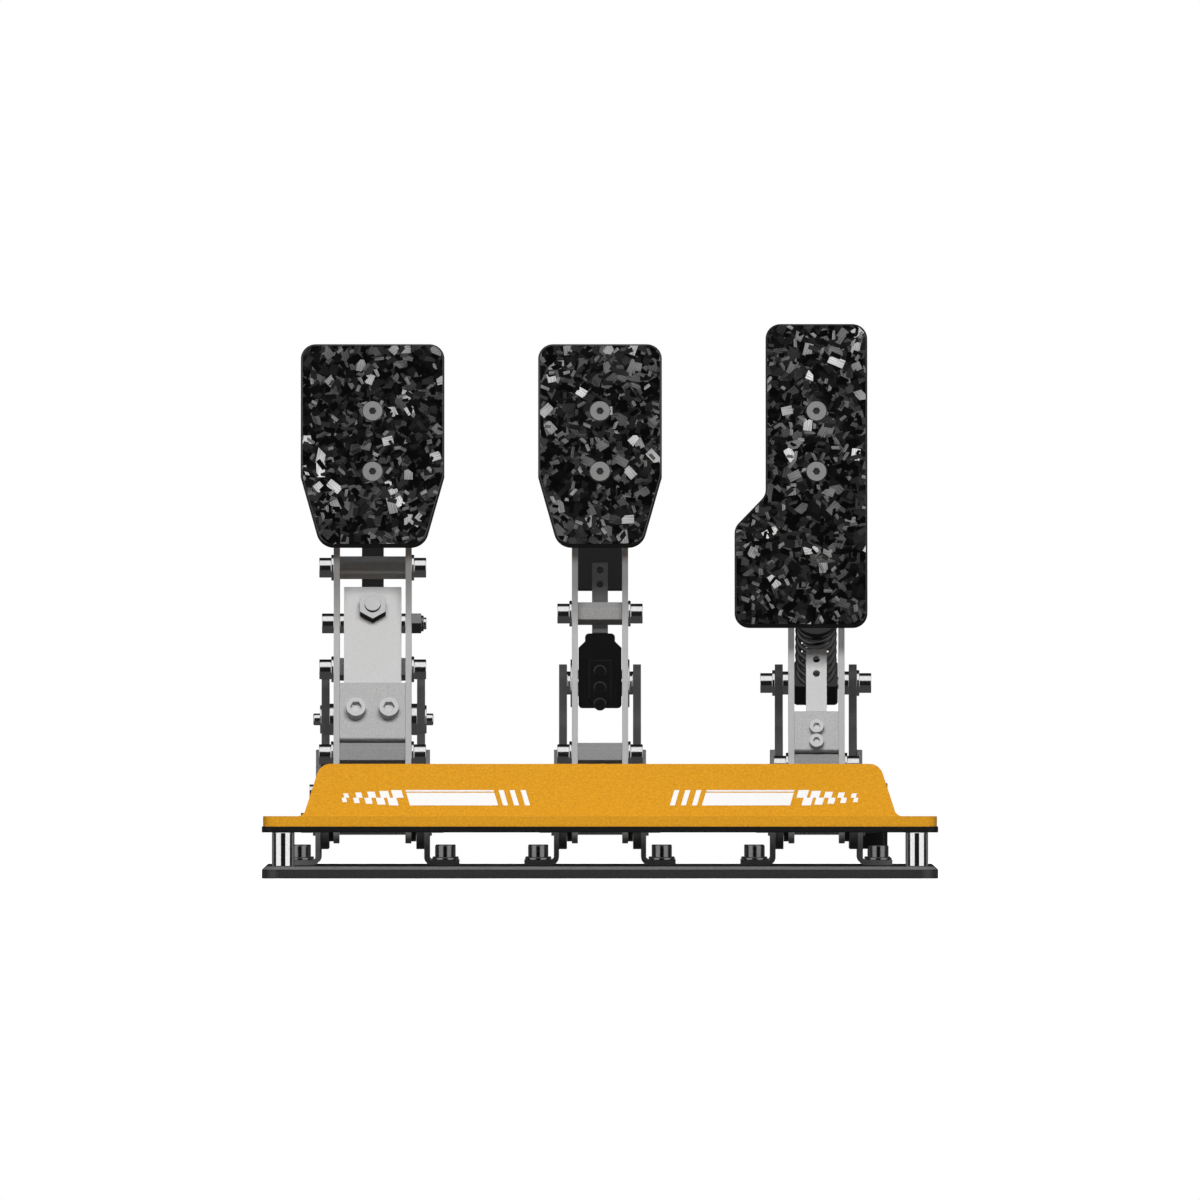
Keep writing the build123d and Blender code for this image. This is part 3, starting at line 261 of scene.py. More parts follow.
def makeSpeckle():
    group, given, made = newGroup(
        "speckle",
        [("Vector", "Vector", None), ("Grain", "Float", 1800.0), ("Low", "Color", (0.1, 0.1, 0.1, 1)),
         ("High", "Color", (0.2, 0.2, 0.2, 1)), ("Drift", "Float", 0.15)],
        [("Color", "Color"), ("Height", "Float"), ("Shine", "Float")])
    fine = noiseNode(group, given.outputs["Vector"], (-600, 100), detail=2, roughness=speck["roughness"])
    join(group, given.outputs["Grain"], fine.inputs["Scale"])
    slow = noiseNode(group, given.outputs["Vector"], (-600, -200), scale=speck["driftScale"])
    spread = rangeNode(group, fine.outputs["Fac"], (-400, 100), From_Min=speck["darkest"],
                       From_Max=speck["palest"])
    tone = newNode(group, "ShaderNodeMix", (-100, 100), data_type="RGBA")
    join(group, spread, tone.inputs[0])
    join(group, given.outputs["Low"], tone.inputs[6])
    join(group, given.outputs["High"], tone.inputs[7])
    driftAmount = mathNode(group, "MULTIPLY_ADD", slow.outputs["Fac"], given.outputs["Drift"], 0.0)
    drifted = newNode(group, "ShaderNodeMix", (300, 100), data_type="RGBA", blend_type="MULTIPLY")
    drifted.inputs[0].default_value = 1
    join(group, tone.outputs[2], drifted.inputs[6])
    join(group, mathNode(group, "SUBTRACT", 1.0, driftAmount), drifted.inputs[7])
    join(group, drifted.outputs[2], made.inputs["Color"])
    join(group, spread, made.inputs["Height"])
    shine = mathNode(group, "MULTIPLY_ADD", slow.outputs["Fac"], speck["shineSpread"], speck["leastShine"])
    join(group, shine, made.inputs["Shine"])
    return group


# One layer of carbon chips, laid on the layer under it
chip = {"turn": 6.283, "sizeSteps": 7.0, "sizeSpread": 0.5, "leastSize": 0.55, "toneCurve": 3.2,
        "fibres": (80, 1700, 1), "fibreLow": 0.35, "fibreHigh": 0.62, "fibreDark": 0.45}


def makeChipLayer():
    group, given, made = newGroup(
        "chipLayer",
        [("Vector", "Vector", None), ("Under", "Float", 0.0), ("Scale", "Float", 150.0),
         ("Shift", "Vector", None), ("Length", "Float", 0.0035), ("Width", "Float", 0.0018),
         ("Bright", "Float", 1.0), ("Rare", "Float", 0.5)],
        [("Value", "Float")])
    moved = newNode(group, "ShaderNodeVectorMath", (-700, 0), operation="ADD")
    join(group, given.outputs["Vector"], moved.inputs[0])
    join(group, given.outputs["Shift"], moved.inputs[1])
    cells = newNode(group, "ShaderNodeTexVoronoi", (-500, 100), voronoi_dimensions="2D")
    join(group, moved.outputs[0], cells.inputs["Vector"])
    join(group, given.outputs["Scale"], cells.inputs["Scale"])
    picked = newNode(group, "ShaderNodeSeparateColor", (-300, 200))
    join(group, cells.outputs["Color"], picked.inputs[0])
    local = newNode(group, "ShaderNodeVectorMath", (-300, -100), operation="SUBTRACT")
    join(group, moved.outputs[0], local.inputs[0])
    join(group, cells.outputs["Position"], local.inputs[1])
    turned = newNode(group, "ShaderNodeVectorRotate", (-100, -100), rotation_type="Z_AXIS")
    join(group, local.outputs[0], turned.inputs["Vector"])
    join(group, mathNode(group, "MULTIPLY", picked.outputs[0], chip["turn"]), turned.inputs["Angle"])
    along = newNode(group, "ShaderNodeSeparateXYZ", (100, -100))
    join(group, turned.outputs[0], along.inputs[0])
    sizeDraw = mathNode(group, "FRACT", mathNode(group, "MULTIPLY", picked.outputs[0], chip["sizeSteps"]))
    sizeShare = mathNode(group, "MULTIPLY_ADD", sizeDraw, chip["sizeSpread"], chip["leastSize"])
    halfLength = mathNode(group, "MULTIPLY", given.outputs["Length"], sizeShare)
    inLength = mathNode(group, "LESS_THAN", mathNode(group, "ABSOLUTE", along.outputs[0]), halfLength)
    inWidth = mathNode(group, "LESS_THAN", mathNode(group, "ABSOLUTE", along.outputs[1]),
                       given.outputs["Width"])
    chosen = mathNode(group, "LESS_THAN", picked.outputs[2], given.outputs["Rare"])
    mask = mathNode(group, "MULTIPLY", mathNode(group, "MULTIPLY", inLength, inWidth), chosen)
    stretched = newNode(group, "ShaderNodeVectorMath", (200, -300), operation="MULTIPLY")
    stretched.inputs[1].default_value = chip["fibres"]
    join(group, turned.outputs[0], stretched.inputs[0])
    fibre = noiseNode(group, stretched.outputs[0], (400, -300), detail=1)
    fibreTone = rangeNode(group, fibre.outputs["Fac"], (500, -300), From_Min=chip["fibreLow"],
                          From_Max=chip["fibreHigh"], To_Min=chip["fibreDark"])
    tone = mathNode(group, "POWER", picked.outputs[1], chip["toneCurve"])
    bright = mathNode(group, "MULTIPLY", mathNode(group, "MULTIPLY", tone, fibreTone),
                      given.outputs["Bright"])
    laid = newNode(group, "ShaderNodeMix", (700, 0), data_type="FLOAT")
    join(group, mask, laid.inputs[0])
    join(group, given.outputs["Under"], laid.inputs[2])
    join(group, bright, laid.inputs[3])
    join(group, laid.outputs[0], made.inputs["Value"])
    return group


# Fine lines of turned and brushed metal, its tone a little dulled in grains
line = {"smooth": 0.3, "rough": 0.7, "dull": 0.86, "grain": 900.0, "drift": 0.1}


def makeBrushed():
    group, given, made = newGroup(
        "brushed",
        [("Vector", "Vector", None), ("Stretch", "Vector", (200, 200, 2500)), ("Low", "Float", 0.15),
         ("High", "Float", 0.35)],
        [("Roughness", "Float"), ("Height", "Float")])
    pulled = newNode(group, "ShaderNodeVectorMath", (-500, 0), operation="MULTIPLY")
    join(group, given.outputs["Vector"], pulled.inputs[0])
    join(group, given.outputs["Stretch"], pulled.inputs[1])
    lines = noiseNode(group, pulled.outputs[0], (-300, 0))
    polish = rangeNode(group, lines.outputs["Fac"], (0, 0), From_Min=line["smooth"], From_Max=line["rough"],
                       To_Min=given.outputs["Low"], To_Max=given.outputs["High"])
    join(group, polish, made.inputs["Roughness"])
    join(group, lines.outputs["Fac"], made.inputs["Height"])
    return group


speckle = makeSpeckle()
chipLayer = makeChipLayer()
brushed = makeBrushed()
makeDome()
print("shader groups ready")

# Finishes
def startMaterial(name, **sockets):
    material = bpy.data.materials.new(name)
    material.use_nodes = True
    tree = material.node_tree
    shader = tree.nodes["Principled BSDF"]
    for key, value in sockets.items():
        shader.inputs[key.replace("_", " ")].default_value = value
    coords = newNode(tree, "ShaderNodeTexCoord", (-1100, 0))
    return material, tree, shader, coords.outputs["Object"]


def placeGroup(tree, group, vector, at=(-600, 0), **values):
    node = newNode(tree, "ShaderNodeGroup", at)
    node.node_tree = group
    join(tree, vector, node.inputs["Vector"])
    for key, value in values.items():
        node.inputs[key].default_value = value
    return node


def addBump(tree, shader, height, distance, strength=1.0):
    bump = newNode(tree, "ShaderNodeBump", (-200, -300))
    bump.inputs["Distance"].default_value = distance
    bump.inputs["Strength"].default_value = strength
    join(tree, height, bump.inputs["Height"])
    join(tree, bump.outputs[0], shader.inputs["Normal"])


def grainyMaterial(name, low, high, grain, bumpDepth, roughness=0.5, metallic=0.0, drift=0.12, **sockets):
    material, tree, shader, vector = startMaterial(name, Metallic=metallic, **sockets)
    group = placeGroup(tree, speckle, vector, Grain=grain, Low=(*low, 1), High=(*high, 1), Drift=drift)
    join(tree, group.outputs["Color"], shader.inputs["Base Color"])
    shine = mathNode(tree, "MULTIPLY", group.outputs["Shine"], roughness, at=(-300, -100))
    join(tree, shine, shader.inputs["Roughness"])
    addBump(tree, shader, group.outputs["Height"], bumpDepth)
    return material


def brushedMaterial(name, colour, stretch, low, high, bumpDepth=0.0):
    material, tree, shader, vector = startMaterial(name, Metallic=1.0)
    group = placeGroup(tree, brushed, vector, Stretch=stretch, Low=low, High=high)
    join(tree, group.outputs["Roughness"], shader.inputs["Roughness"])
    dull = [part * line["dull"] for part in colour]
    tint = placeGroup(tree, speckle, vector, at=(-600, 300), Grain=line["grain"], Low=(*dull, 1),
                      High=(*colour, 1), Drift=line["drift"])
    join(tree, tint.outputs["Color"], shader.inputs["Base Color"])
    if bumpDepth:
        addBump(tree, shader, group.outputs["Height"], bumpDepth)
    return material


def grey(value):
    return (value, value, value)


# Colours from low to high, grains per metre, depth of the grain in metres
grainyFinishes = {
    "orangePowder": ((0.60, 0.255, 0.003), (0.78, 0.365, 0.009), 850, 0.00005,
                     {"roughness": 0.62, "drift": 0.02}),
    "darkPowder": (grey(0.016), grey(0.036), 1300, 0.00006, {"roughness": 0.38}),
    "bracketPowder": (grey(0.11), grey(0.18), 1500, 0.00007, {"roughness": 0.5}),
    "uprightPowder": (grey(0.055), grey(0.09), 1500, 0.00006, {"roughness": 0.45}),
    # painted highlight for the base plate's upward-slanting edge
    "litEdge": (grey(0.09), grey(0.17), 1500, 0.00005, {"roughness": 0.5}),
    "blackSheet": (grey(0.004), grey(0.010), 1500, 0.00005, {"roughness": 0.5, "Specular_IOR_Level": 0.2}),
    "blackPlastic": (grey(0.003), grey(0.007), 2600, 0.00001,
                     {"roughness": 0.3, "Coat_Weight": 0.4, "Coat_Roughness": 0.1}),
    "beadBlasted": (grey(0.50), grey(0.63), 2600, 0.00003, {"roughness": 0.6, "drift": 0.06}),
    "armSatin": (grey(0.40), grey(0.50), 2600, 0.00003, {"roughness": 0.42, "metallic": 0.35, "drift": 0.06}),
    "satinNut": (grey(0.52), grey(0.60), 2600, 0.00001, {"roughness": 0.3, "metallic": 0.85, "drift": 0.04}),
    "blockAnodised": (grey(0.36), grey(0.52), 1700, 0.00005, {"roughness": 0.6, "drift": 0.1}),
    "spacerAnodised": (grey(0.24), grey(0.36), 1700, 0.00004, {"roughness": 0.5, "drift": 0.1}),
    "darkAnodised": (grey(0.065), grey(0.10), 1700, 0.00004, {"roughness": 0.45}),
    "clayScrew": (grey(0.50), grey(0.60), 2200, 0.00002, {"roughness": 0.5, "drift": 0.08}),
    "faceScrew": (grey(0.18), grey(0.23), 2200, 0.00002, {"roughness": 0.5, "drift": 0.08}),
    # black for the swivel blocks, and painted shade on screw sockets, the load stud's sides, and the struts'
    # eyes and collars
    "darkCollar": (grey(0.006), grey(0.012), 1800, 0.00002, {"roughness": 0.4}),
    "springSteel": (grey(0.004), grey(0.009), 900, 0.000005,
                    {"roughness": 0.25, "Coat_Weight": 0.3, "Coat_Roughness": 0.05}),
    "rubber": (grey(0.010), grey(0.022), 1200, 0.00008, {"roughness": 0.75}),
    "whitePrint": (grey(0.90), grey(0.96), 1500, 0.00004, {"roughness": 0.6, "drift": 0.03}),
    "carbonRim": (grey(0.004), grey(0.009), 2000, 0.00001, {"roughness": 0.25, "Coat_Weight": 0.4}),
}
# Colour, lines per metre along each axis, smoothest and roughest, depth of the lines in metres
brushedFinishes = {
    "chrome": (grey(0.92), (600, 600, 60), 0.06, 0.10, 0.0),
    "brightBolt": (grey(0.86), (300, 2400, 2400), 0.12, 0.18, 0.0),
    "blackBolt": (grey(0.22), (300, 2400, 2400), 0.16, 0.24, 0.0),
    "turnedSteel": (grey(0.62), (700, 2600, 2600), 0.16, 0.30, 0.0),
    "darkBush": ((0.060, 0.050, 0.038), (700, 2600, 2600), 0.3, 0.5, 0.000004),
}
finishes = {}
for name, (low, high, grain, depth, more) in grainyFinishes.items():
    finishes[name] = grainyMaterial(name, low, high, grain, depth, **more)
for name, values in brushedFinishes.items():
    finishes[name] = brushedMaterial(name, *values)

# Forged carbon: chips in ten layers, from the deepest to the top one
carbon = {"roughness": 0.35, "specular": 0.04, "coat": 0.30, "coatRoughness": 0.03, "ground": 0.0005,
          "least": 0.001, "glint": 0.6, "depth": 0.00002, "bump": 0.4, "shift": (0.37, 0.61)}
carbonLayers = [  # cells per metre, half length, half width, brightness, how many cells hold a chip
    (230, 0.0040, 0.0016, 0.060, 1.0),
    (190, 0.0042, 0.0018, 0.085, 1.0),
    (170, 0.0044, 0.0019, 0.165, 0.9),
    (150, 0.0042, 0.0020, 0.085, 0.8),
    (210, 0.0030, 0.0011, 0.21, 0.7),
    (140, 0.0044, 0.0021, 0.135, 0.7),
    (160, 0.0036, 0.0015, 0.035, 0.7),
    (125, 0.0040, 0.0021, 0.95, 0.5),
    (180, 0.0034, 0.0012, 0.03, 0.5),
    (260, 0.0026, 0.0008, 0.34, 0.35),
]


def forgedCarbon():
    material, tree, shader, vector = startMaterial(
        "forgedCarbon", Roughness=carbon["roughness"], Specular_IOR_Level=carbon["specular"],
        Coat_Weight=carbon["coat"], Coat_Roughness=carbon["coatRoughness"])
    flat = newNode(tree, "ShaderNodeMapping", (-900, 0))
    flat.inputs["Rotation"].default_value = (faceLean - math.pi / 2, 0, 0)
    join(tree, vector, flat.inputs["Vector"])
    under = None
    for step, (scale, length, width, bright, rare) in enumerate(carbonLayers):
        shift = (carbon["shift"][0] * step, carbon["shift"][1] * step, 0)
        chips = placeGroup(tree, chipLayer, flat.outputs[0], at=(-700 + 160 * step, 200), Scale=scale,
                           Shift=shift, Length=length, Width=width, Bright=bright, Rare=rare,
                           Under=carbon["ground"])
        if under is not None:
            join(tree, under, chips.inputs["Under"])
        under = chips.outputs["Value"]
    tone = newNode(tree, "ShaderNodeMath", (600, 200), operation="ADD", use_clamp=True)
    join(tree, under, tone.inputs[0])
    tone.inputs[1].default_value = carbon["least"]
    join(tree, tone.outputs[0], shader.inputs["Base Color"])
    join(tree, mathNode(tree, "MULTIPLY", under, carbon["glint"], at=(600, 0)), shader.inputs["Metallic"])
    addBump(tree, shader, under, carbon["depth"], carbon["bump"])
    return material


finishes["forgedCarbon"] = forgedCarbon()
print("finishes ready:", len(finishes))

# CAD nodes, each as a copy with softened edges
softEdge = {"merge": 0.000002, "flat": math.radians(0.6), "weight": 50, "angle": math.radians(35)}


def softCopy(name, radius, segments=2):
    bm = bmesh.new()
    bm.from_mesh(nodes[name].data)
    bmesh.ops.remove_doubles(bm, verts=bm.verts, dist=softEdge["merge"])
    bmesh.ops.dissolve_limit(bm, angle_limit=softEdge["flat"], verts=bm.verts, edges=bm.edges)
    mesh = bpy.data.meshes.new(name + "Soft")
    bm.to_mesh(mesh)
    bm.free()
    piece = bpy.data.objects.new(name + "Soft", mesh)
    scene.collection.objects.link(piece)
    for polygon in mesh.polygons:
        polygon.use_smooth = True
    bevel = piece.modifiers.new("edge", "BEVEL")
    bevel.width = radius
    bevel.segments = segments
    bevel.limit_method = "ANGLE"
    bevel.angle_limit = softEdge["angle"]
    bevel.use_clamp_overlap = True
    shade = piece.modifiers.new("shade", "WEIGHTED_NORMAL")
    shade.weight = softEdge["weight"]
    shade.keep_sharp = False
    return piece


nodeFinish = {  # node: finish, radius of its edges in metres (0 keeps the CAD mesh)
    "base_plate": ("darkPowder", 0.0003),
    "heel_deck": ("blackSheet", 0.0004),
    "heel_plate": ("orangePowder", 0.0003),
    "deck_posts": ("chrome", 0.0004),
    "cover_screws": ("brightBolt", 0),
    "bracket_bolts": ("blackBolt", 0.0004),
    "upright_bolts": ("brightBolt", 0.0003),
    "trunnion_bolts": ("brightBolt", 0.0003),
    "pivot_axles": ("turnedSteel", 0.0003),
    "pivot_screws": ("brightBolt", 0.0003),
    "controller_box": ("blackPlastic", 0.0004),
    "controller_lid": ("blackPlastic", 0.0004),
    "usb_socket": ("turnedSteel", 0),
    "left_load_cell": ("beadBlasted", 0.0003),
    "left_load_stud": ("satinNut", 0.0002),
    "middle_cartridge": ("blackPlastic", 0.0006),
}
pedalFinish = {
    "_side_brackets": ("bracketPowder", 0.0003),
    "_uprights": ("uprightPowder", 0.0003),
    "_arms": ("armSatin", 0.0003),
    "_pivot_bushes": ("darkBush", 0.0002),
    "_hex_spacers": ("spacerAnodised", 0.0002),
    "_arm_screws": ("brightBolt", 0.0003),
    "_face_bracket": ("beadBlasted", 0.0003),
    "_face_screws": ("faceScrew", 0.0001),
    "_strut_rod": ("turnedSteel", 0.0003),
    "_swivel_block": ("darkCollar", 0.0004),
}
for name in pedals:
    for part, finish in pedalFinish.items():
        nodeFinish[name + part] = finish
nodeFinish["left_swivel_block"] = ("spacerAnodised", 0.0004)
nodeFinish["left_clamp_block"] = ("blockAnodised", 0.0003)
nodeFinish["right_clamp_block"] = ("blockAnodised", 0.0003)
nodeFinish["middle_sensor_bar"] = ("darkAnodised", 0.0002)
nodeFinish["right_sensor_bar"] = ("beadBlasted", 0.0002)
nodeFinish["left_rear_brace"] = ("blackPlastic", 0.0003)
nodeFinish["middle_rear_brace"] = ("blackPlastic", 0.0003)
bodyOf = {}
for body, members in frame["record"]["behaviour"]["bodies"].items():
    for node in members:
        bodyOf[node] = body

softPieces = {}
for name, (finish, radius) in nodeFinish.items():
    piece = softCopy(name, radius) if radius else nodes[name]
    piece.data.materials.clear()
    piece.data.materials.append(finishes[finish])
    if radius:
        softPieces[name] = piece
        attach(piece, bodyOf[name])
        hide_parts(name)

# Parts of a node that have a second finish, picked by where their faces are and where they look
clampScrewsAt = {"left": {"across": 0.014, "low": 0.070, "high": 0.098},
                 "right": {"across": 0.005, "low": 0.062, "high": 0.082}}
nut = {"outside": 0.02, "bore": 0.0031, "reach": 0.0085}
collar = {"start": 0.0095, "end": 0.0135, "inner": 0.0068, "eyeEnd": 0.0136}
stud = {"sideways": 0.4}  # faces that look less than this towards the driver are painted dark as painted shade
chamfer = {"least": 0.2, "most": 0.95}  # faces of the base plate's edge that slant upwards, painted lighter as a painted highlight
socket = {"depth": 0.0004}  # how far under the front of the foot plates' screws the painted shade begins


def paintSome(node, finish, chosen):
    mesh = softPieces[node].data
    mesh.materials.append(finishes[finish])
    for polygon in mesh.polygons:
        if chosen(polygon.center, polygon.normal):
            polygon.material_index = len(mesh.materials) - 1


def clampScrews(name):  # screws in the front of a clamp block, in the node of the arms' screws
    screws = clampScrewsAt[name]
    return lambda point, way: (abs(point.x - pedals[name]["x"]) < screws["across"]
                               and screws["low"] < point.z < screws["high"])


def lockNut(point, way):  # nut on the outer end of the left strut's pin
    fromPin = (Vector(point[1:]) - Vector(pedals["left"]["eye"])).length
    return point.x > pedals["left"]["x"] + nut["outside"] and nut["bore"] < fromPin < nut["reach"]


def alongStrut(name, point):  # how far from the strut's eye, and how far from its axis
    pedal = pedals[name]
    eye = Vector((pedal["x"], *pedal["eye"]))
    way = (Vector((pedal["x"], *pedal["trunnion"])) - eye).normalized()
    reach = (point - eye).dot(way)
    return reach, (point - eye - way * reach).length


def strutCollar(name):
    def chosen(point, way):
        reach, off = alongStrut(name, point)
        return collar["start"] < reach < collar["end"] and off > collar["inner"]
    return chosen


paintSome("left_arm_screws", "clayScrew", clampScrews("left"))
paintSome("right_arm_screws", "clayScrew", clampScrews("right"))
# Painted shade: the load stud's and nut's faces that look away from the driver are painted dark
paintSome("left_load_stud", "darkCollar", lambda point, way: way.dot(armNormal) < stud["sideways"])
paintSome("left_arm_screws", "blackBolt", lockNut)
# Painted highlight: the base plate's edge faces that slant upwards get a lighter grey than the plate
paintSome("base_plate", "litEdge", lambda point, way: chamfer["least"] < way.z < chamfer["most"])
# Painted shade: each foot plate screw is painted dark below its front face, in its socket and round its head
for name in pedals:
    heads = softPieces[name + "_face_screws"].data.vertices
    front = max(vert.co.dot(faceNormal) for vert in heads)
    paintSome(name + "_face_screws", "darkCollar",
              lambda point, way: point.dot(faceNormal) < front - socket["depth"])
# Painted shade from the foot plates: the right strut's eye and every strut's collar are painted dark
paintSome("right_strut_rod", "darkCollar",  # its eye gets the painted shade too
          lambda point, way: alongStrut("right", point)[0] < collar["eyeEnd"])
for name in pedals:
    paintSome(name + "_strut_rod", "darkCollar", strutCollar(name))


# The sensors' ends, set to the photograph along the arm
def slideSome(node, shift, chosen):
    for vert in softPieces[node].data.vertices:
        if chosen(vert.co):
            vert.co += upArm * shift


cell = {"longer": 0.0021, "topPart": 0.0016}
bar = {"topUp": 0.0029, "topPart": 0.017, "footDown": -0.0035, "footPart": 0.004}
cellTop = max(vert.co.dot(upArm) for vert in softPieces["left_load_cell"].data.vertices)
barHeights = [vert.co.z for vert in softPieces["middle_sensor_bar"].data.vertices]
barTop, barFoot = max(barHeights), min(barHeights)
slideSome("left_load_cell", cell["longer"], lambda point: point.dot(upArm) > cellTop - cell["topPart"])
slideSome("middle_sensor_bar", bar["topUp"], lambda point: point.z > barTop - bar["topPart"])
slideSome("middle_sensor_bar", bar["footDown"], lambda point: point.z < barFoot + bar["footPart"])
print("CAD nodes dressed:", len(nodeFinish))

# Foot plates: carbon in front, black rim all round
facePlate = {"edge": 0.0004, "segments": 3, "frontShare": 0.98}
for name in pedals:
    plate = softCopy(name + "_face_plate", facePlate["edge"], segments=facePlate["segments"])
    plate.data.materials.clear()
    plate.data.materials.append(finishes["forgedCarbon"])
    plate.data.materials.append(finishes["carbonRim"])
    for polygon in plate.data.polygons:
        polygon.material_index = 0 if polygon.normal.dot(faceNormal) > facePlate["frontShare"] else 1
    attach(plate, name + "_pedal")
    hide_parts(name + "_face_plate")
print("foot plates ready")


def finishPiece(bm, name, finish, body, smooth=True):
    mesh = bpy.data.meshes.new(name)
    bm.to_mesh(mesh)
    bm.free()
    for polygon in mesh.polygons:
        polygon.use_smooth = smooth
    mesh.materials.append(finishes[finish])
    piece = bpy.data.objects.new(name, mesh)
    scene.collection.objects.link(piece)
    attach(piece, body)
    return piece


# Springs and elastomer stack along their strut, each piece with a copy of its mesh of its own
strut = {"springStart": 0.0131, "stackStart": 0.013, "blockHalf": 0.008}


def strutPlace(name, start):  # frame at start along the strut, its direction, and the room up to its block
    pedal = pedals[name]
    eye = Vector((pedal["x"], *pedal["eye"]))
    end = Vector((pedal["x"], *pedal["trunnion"]))
    way = (end - eye).normalized()
    side = Vector((1, 0, 0))
    turn = Matrix((side, way.cross(side), way)).transposed().to_4x4()
    return Matrix.Translation(eye + way * start) @ turn, way, (end - eye).length - strut["blockHalf"] - start


def squeeze(piece):
    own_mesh(piece)


# The wire's and the coil's radius, turns in all, closed ones at each end and their pitch in wire radii
spring = {"wire": 0.00125, "coil": 0.0093, "turns": 7.0, "closed": 0.8, "closedPitch": 2.15,
          "steps": 26, "sides": 12}


def makeSpring(name):
    place, way, free = strutPlace(name, strut["springStart"])
    wire = spring["wire"]
    closed = spring["closed"]
    openTurns = spring["turns"] - 2 * closed
    closedRise = spring["closedPitch"] * wire
    openRise = (free - 2 * wire - 2 * closed * closedRise) / openTurns
    bm = bmesh.new()
    ring = bmesh.ops.create_circle(bm, segments=spring["sides"], radius=wire)["verts"]
    ringPlace = Matrix.Translation((spring["coil"], 0, wire)) @ Matrix.Rotation(math.radians(90), 4, "X")
    bmesh.ops.transform(bm, verts=ring, matrix=ringPlace)
    bmesh.ops.contextual_create(bm, geom=ring)
    last = list({edge for vert in ring for edge in vert.link_edges})
    for turns, rise in ((closed, closedRise), (openTurns, openRise), (closed, closedRise)):
        steps = max(2, round(turns * spring["steps"]))
        made = bmesh.ops.spin(bm, geom=last, cent=(0, 0, 0), axis=(0, 0, 1), steps=steps, use_merge=False,
                              dvec=(0, 0, rise * turns / steps), angle=2 * math.pi * turns)["geom_last"]
        last = [item for item in made if isinstance(item, bmesh.types.BMEdge)]
    bmesh.ops.holes_fill(bm, edges=[edge for edge in bm.edges if edge.is_boundary], sides=0)
    bmesh.ops.recalc_face_normals(bm, faces=bm.faces)
    bmesh.ops.transform(bm, verts=bm.verts, matrix=place)
    piece = finishPiece(bm, name + "Spring", "springSteel", name + "_block")
    squeeze(piece)
    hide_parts(name + "_spring")


for name in ("middle", "right"):
    makeSpring(name)

puck = {"count": 5, "radius": 0.011, "bore": 0.0042, "round": 0.0012, "roundness": 0.6, "steps": 12,
        "waist": (5, 7), "waistDepth": 0.0008, "ringSteps": 48, "merge": 0.000001}
disc = {"thickness": 0.0012, "radius": 0.012, "edgeShare": 0.25}


def spinProfile(bm, profile):
    verts = [bm.verts.new((radius, 0, height)) for radius, height in profile]
    edges = [bm.edges.new((verts[i], verts[(i + 1) % len(verts)])) for i in range(len(verts))]
    bmesh.ops.spin(bm, geom=verts + edges, cent=(0, 0, 0), axis=(0, 0, 1), dvec=(0, 0, 0),
                   angle=2 * math.pi, steps=puck["ringSteps"], use_merge=True)


def discProfile(low):
    high = low + disc["thickness"]
    edge = disc["thickness"] * disc["edgeShare"]
    outer = disc["radius"]
    return [(puck["bore"], low), (outer - edge, low), (outer, low + edge), (outer, high - edge),
            (outer - edge, high), (puck["bore"], high)]


def puckProfile(low, height):
    profile = [(puck["bore"], low)]
    for step in range(puck["steps"] + 1):
        turn = math.pi * step / puck["steps"]
        radius = puck["radius"] - puck["round"] + puck["round"] * math.sin(turn) ** puck["roundness"]
        if puck["waist"][0] <= step <= puck["waist"][1]:
            radius -= puck["waistDepth"]
        profile.append((radius, low + height * (0.5 - 0.5 * math.cos(turn))))
    return profile + [(puck["bore"], low + height)]


def makeStack():
    place, way, free = strutPlace("left", strut["stackStart"])
    height = (free - (puck["count"] + 1) * disc["thickness"]) / puck["count"]
    pucks, discs = bmesh.new(), bmesh.new()
    for step in range(puck["count"] + 1):
        low = step * (height + disc["thickness"])
        spinProfile(discs, discProfile(low))
        if step < puck["count"]:
            spinProfile(pucks, puckProfile(low + disc["thickness"], height))
    for bm, name, finish, node, slot in (
            (pucks, "leftElastomers", "rubber", "left_elastomers", "elastomer"),
            (discs, "leftStackDiscs", "turnedSteel", "left_stack_discs", "steel")):
        bmesh.ops.remove_doubles(bm, verts=bm.verts, dist=puck["merge"])
        bmesh.ops.recalc_face_normals(bm, faces=bm.faces)
        bmesh.ops.transform(bm, verts=bm.verts, matrix=place)
        piece = finishPiece(bm, name, finish, "left_block", smooth=False)
        squeeze(piece)
        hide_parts(node)


makeStack()
print("springs and stack ready")

# Print on the kick panel: on each side a bar, three slanted strokes and two rows of blocks
kick = {"foot": Vector((0, -0.1094, 0.031)), "top": Vector((0, -0.0714, 0.057))}
kickSlope = kick["top"] - kick["foot"]
kickNormal = Vector((0, -kickSlope.z, kickSlope.y)).normalized()
stripes = {"low": 0.0362, "high": 0.0438, "slant": 0.30, "lift": 0.00002, "film": 0.00006}
bars = {"from": 0.052, "to": 0.096, "topGapShare": 0.35, "lineShare": 0.2}
slants = {"count": 3, "from": 0.036, "width": 0.0025, "pitch": 0.0055}
blocks = {"count": 5, "from": 0.098, "pitch": 0.0068, "width": 0.0052, "narrower": 0.0007, "shorter": 0.0004,
          "lowFromShare": 0.7, "lowToShare": 1.6}


def addStripe(bm, x0, x1, low, high, mirror):
    middle = (stripes["low"] + stripes["high"]) / 2
    verts = []
    for x, height in ((x0, low), (x1, low), (x1, high), (x0, high)):
        share = (height - kick["foot"].z) / kickSlope.z
        point = kick["foot"] + kickSlope * share + kickNormal * stripes["lift"]
        point.x = (x + (height - middle) * stripes["slant"]) * mirror
        verts.append(bm.verts.new(point))
    face = bm.faces.new(verts)
    raised = bmesh.ops.extrude_face_region(bm, geom=[face])["geom"]
    bmesh.ops.translate(bm, verts=[item for item in raised if isinstance(item, bmesh.types.BMVert)],
                        vec=kickNormal * stripes["film"])


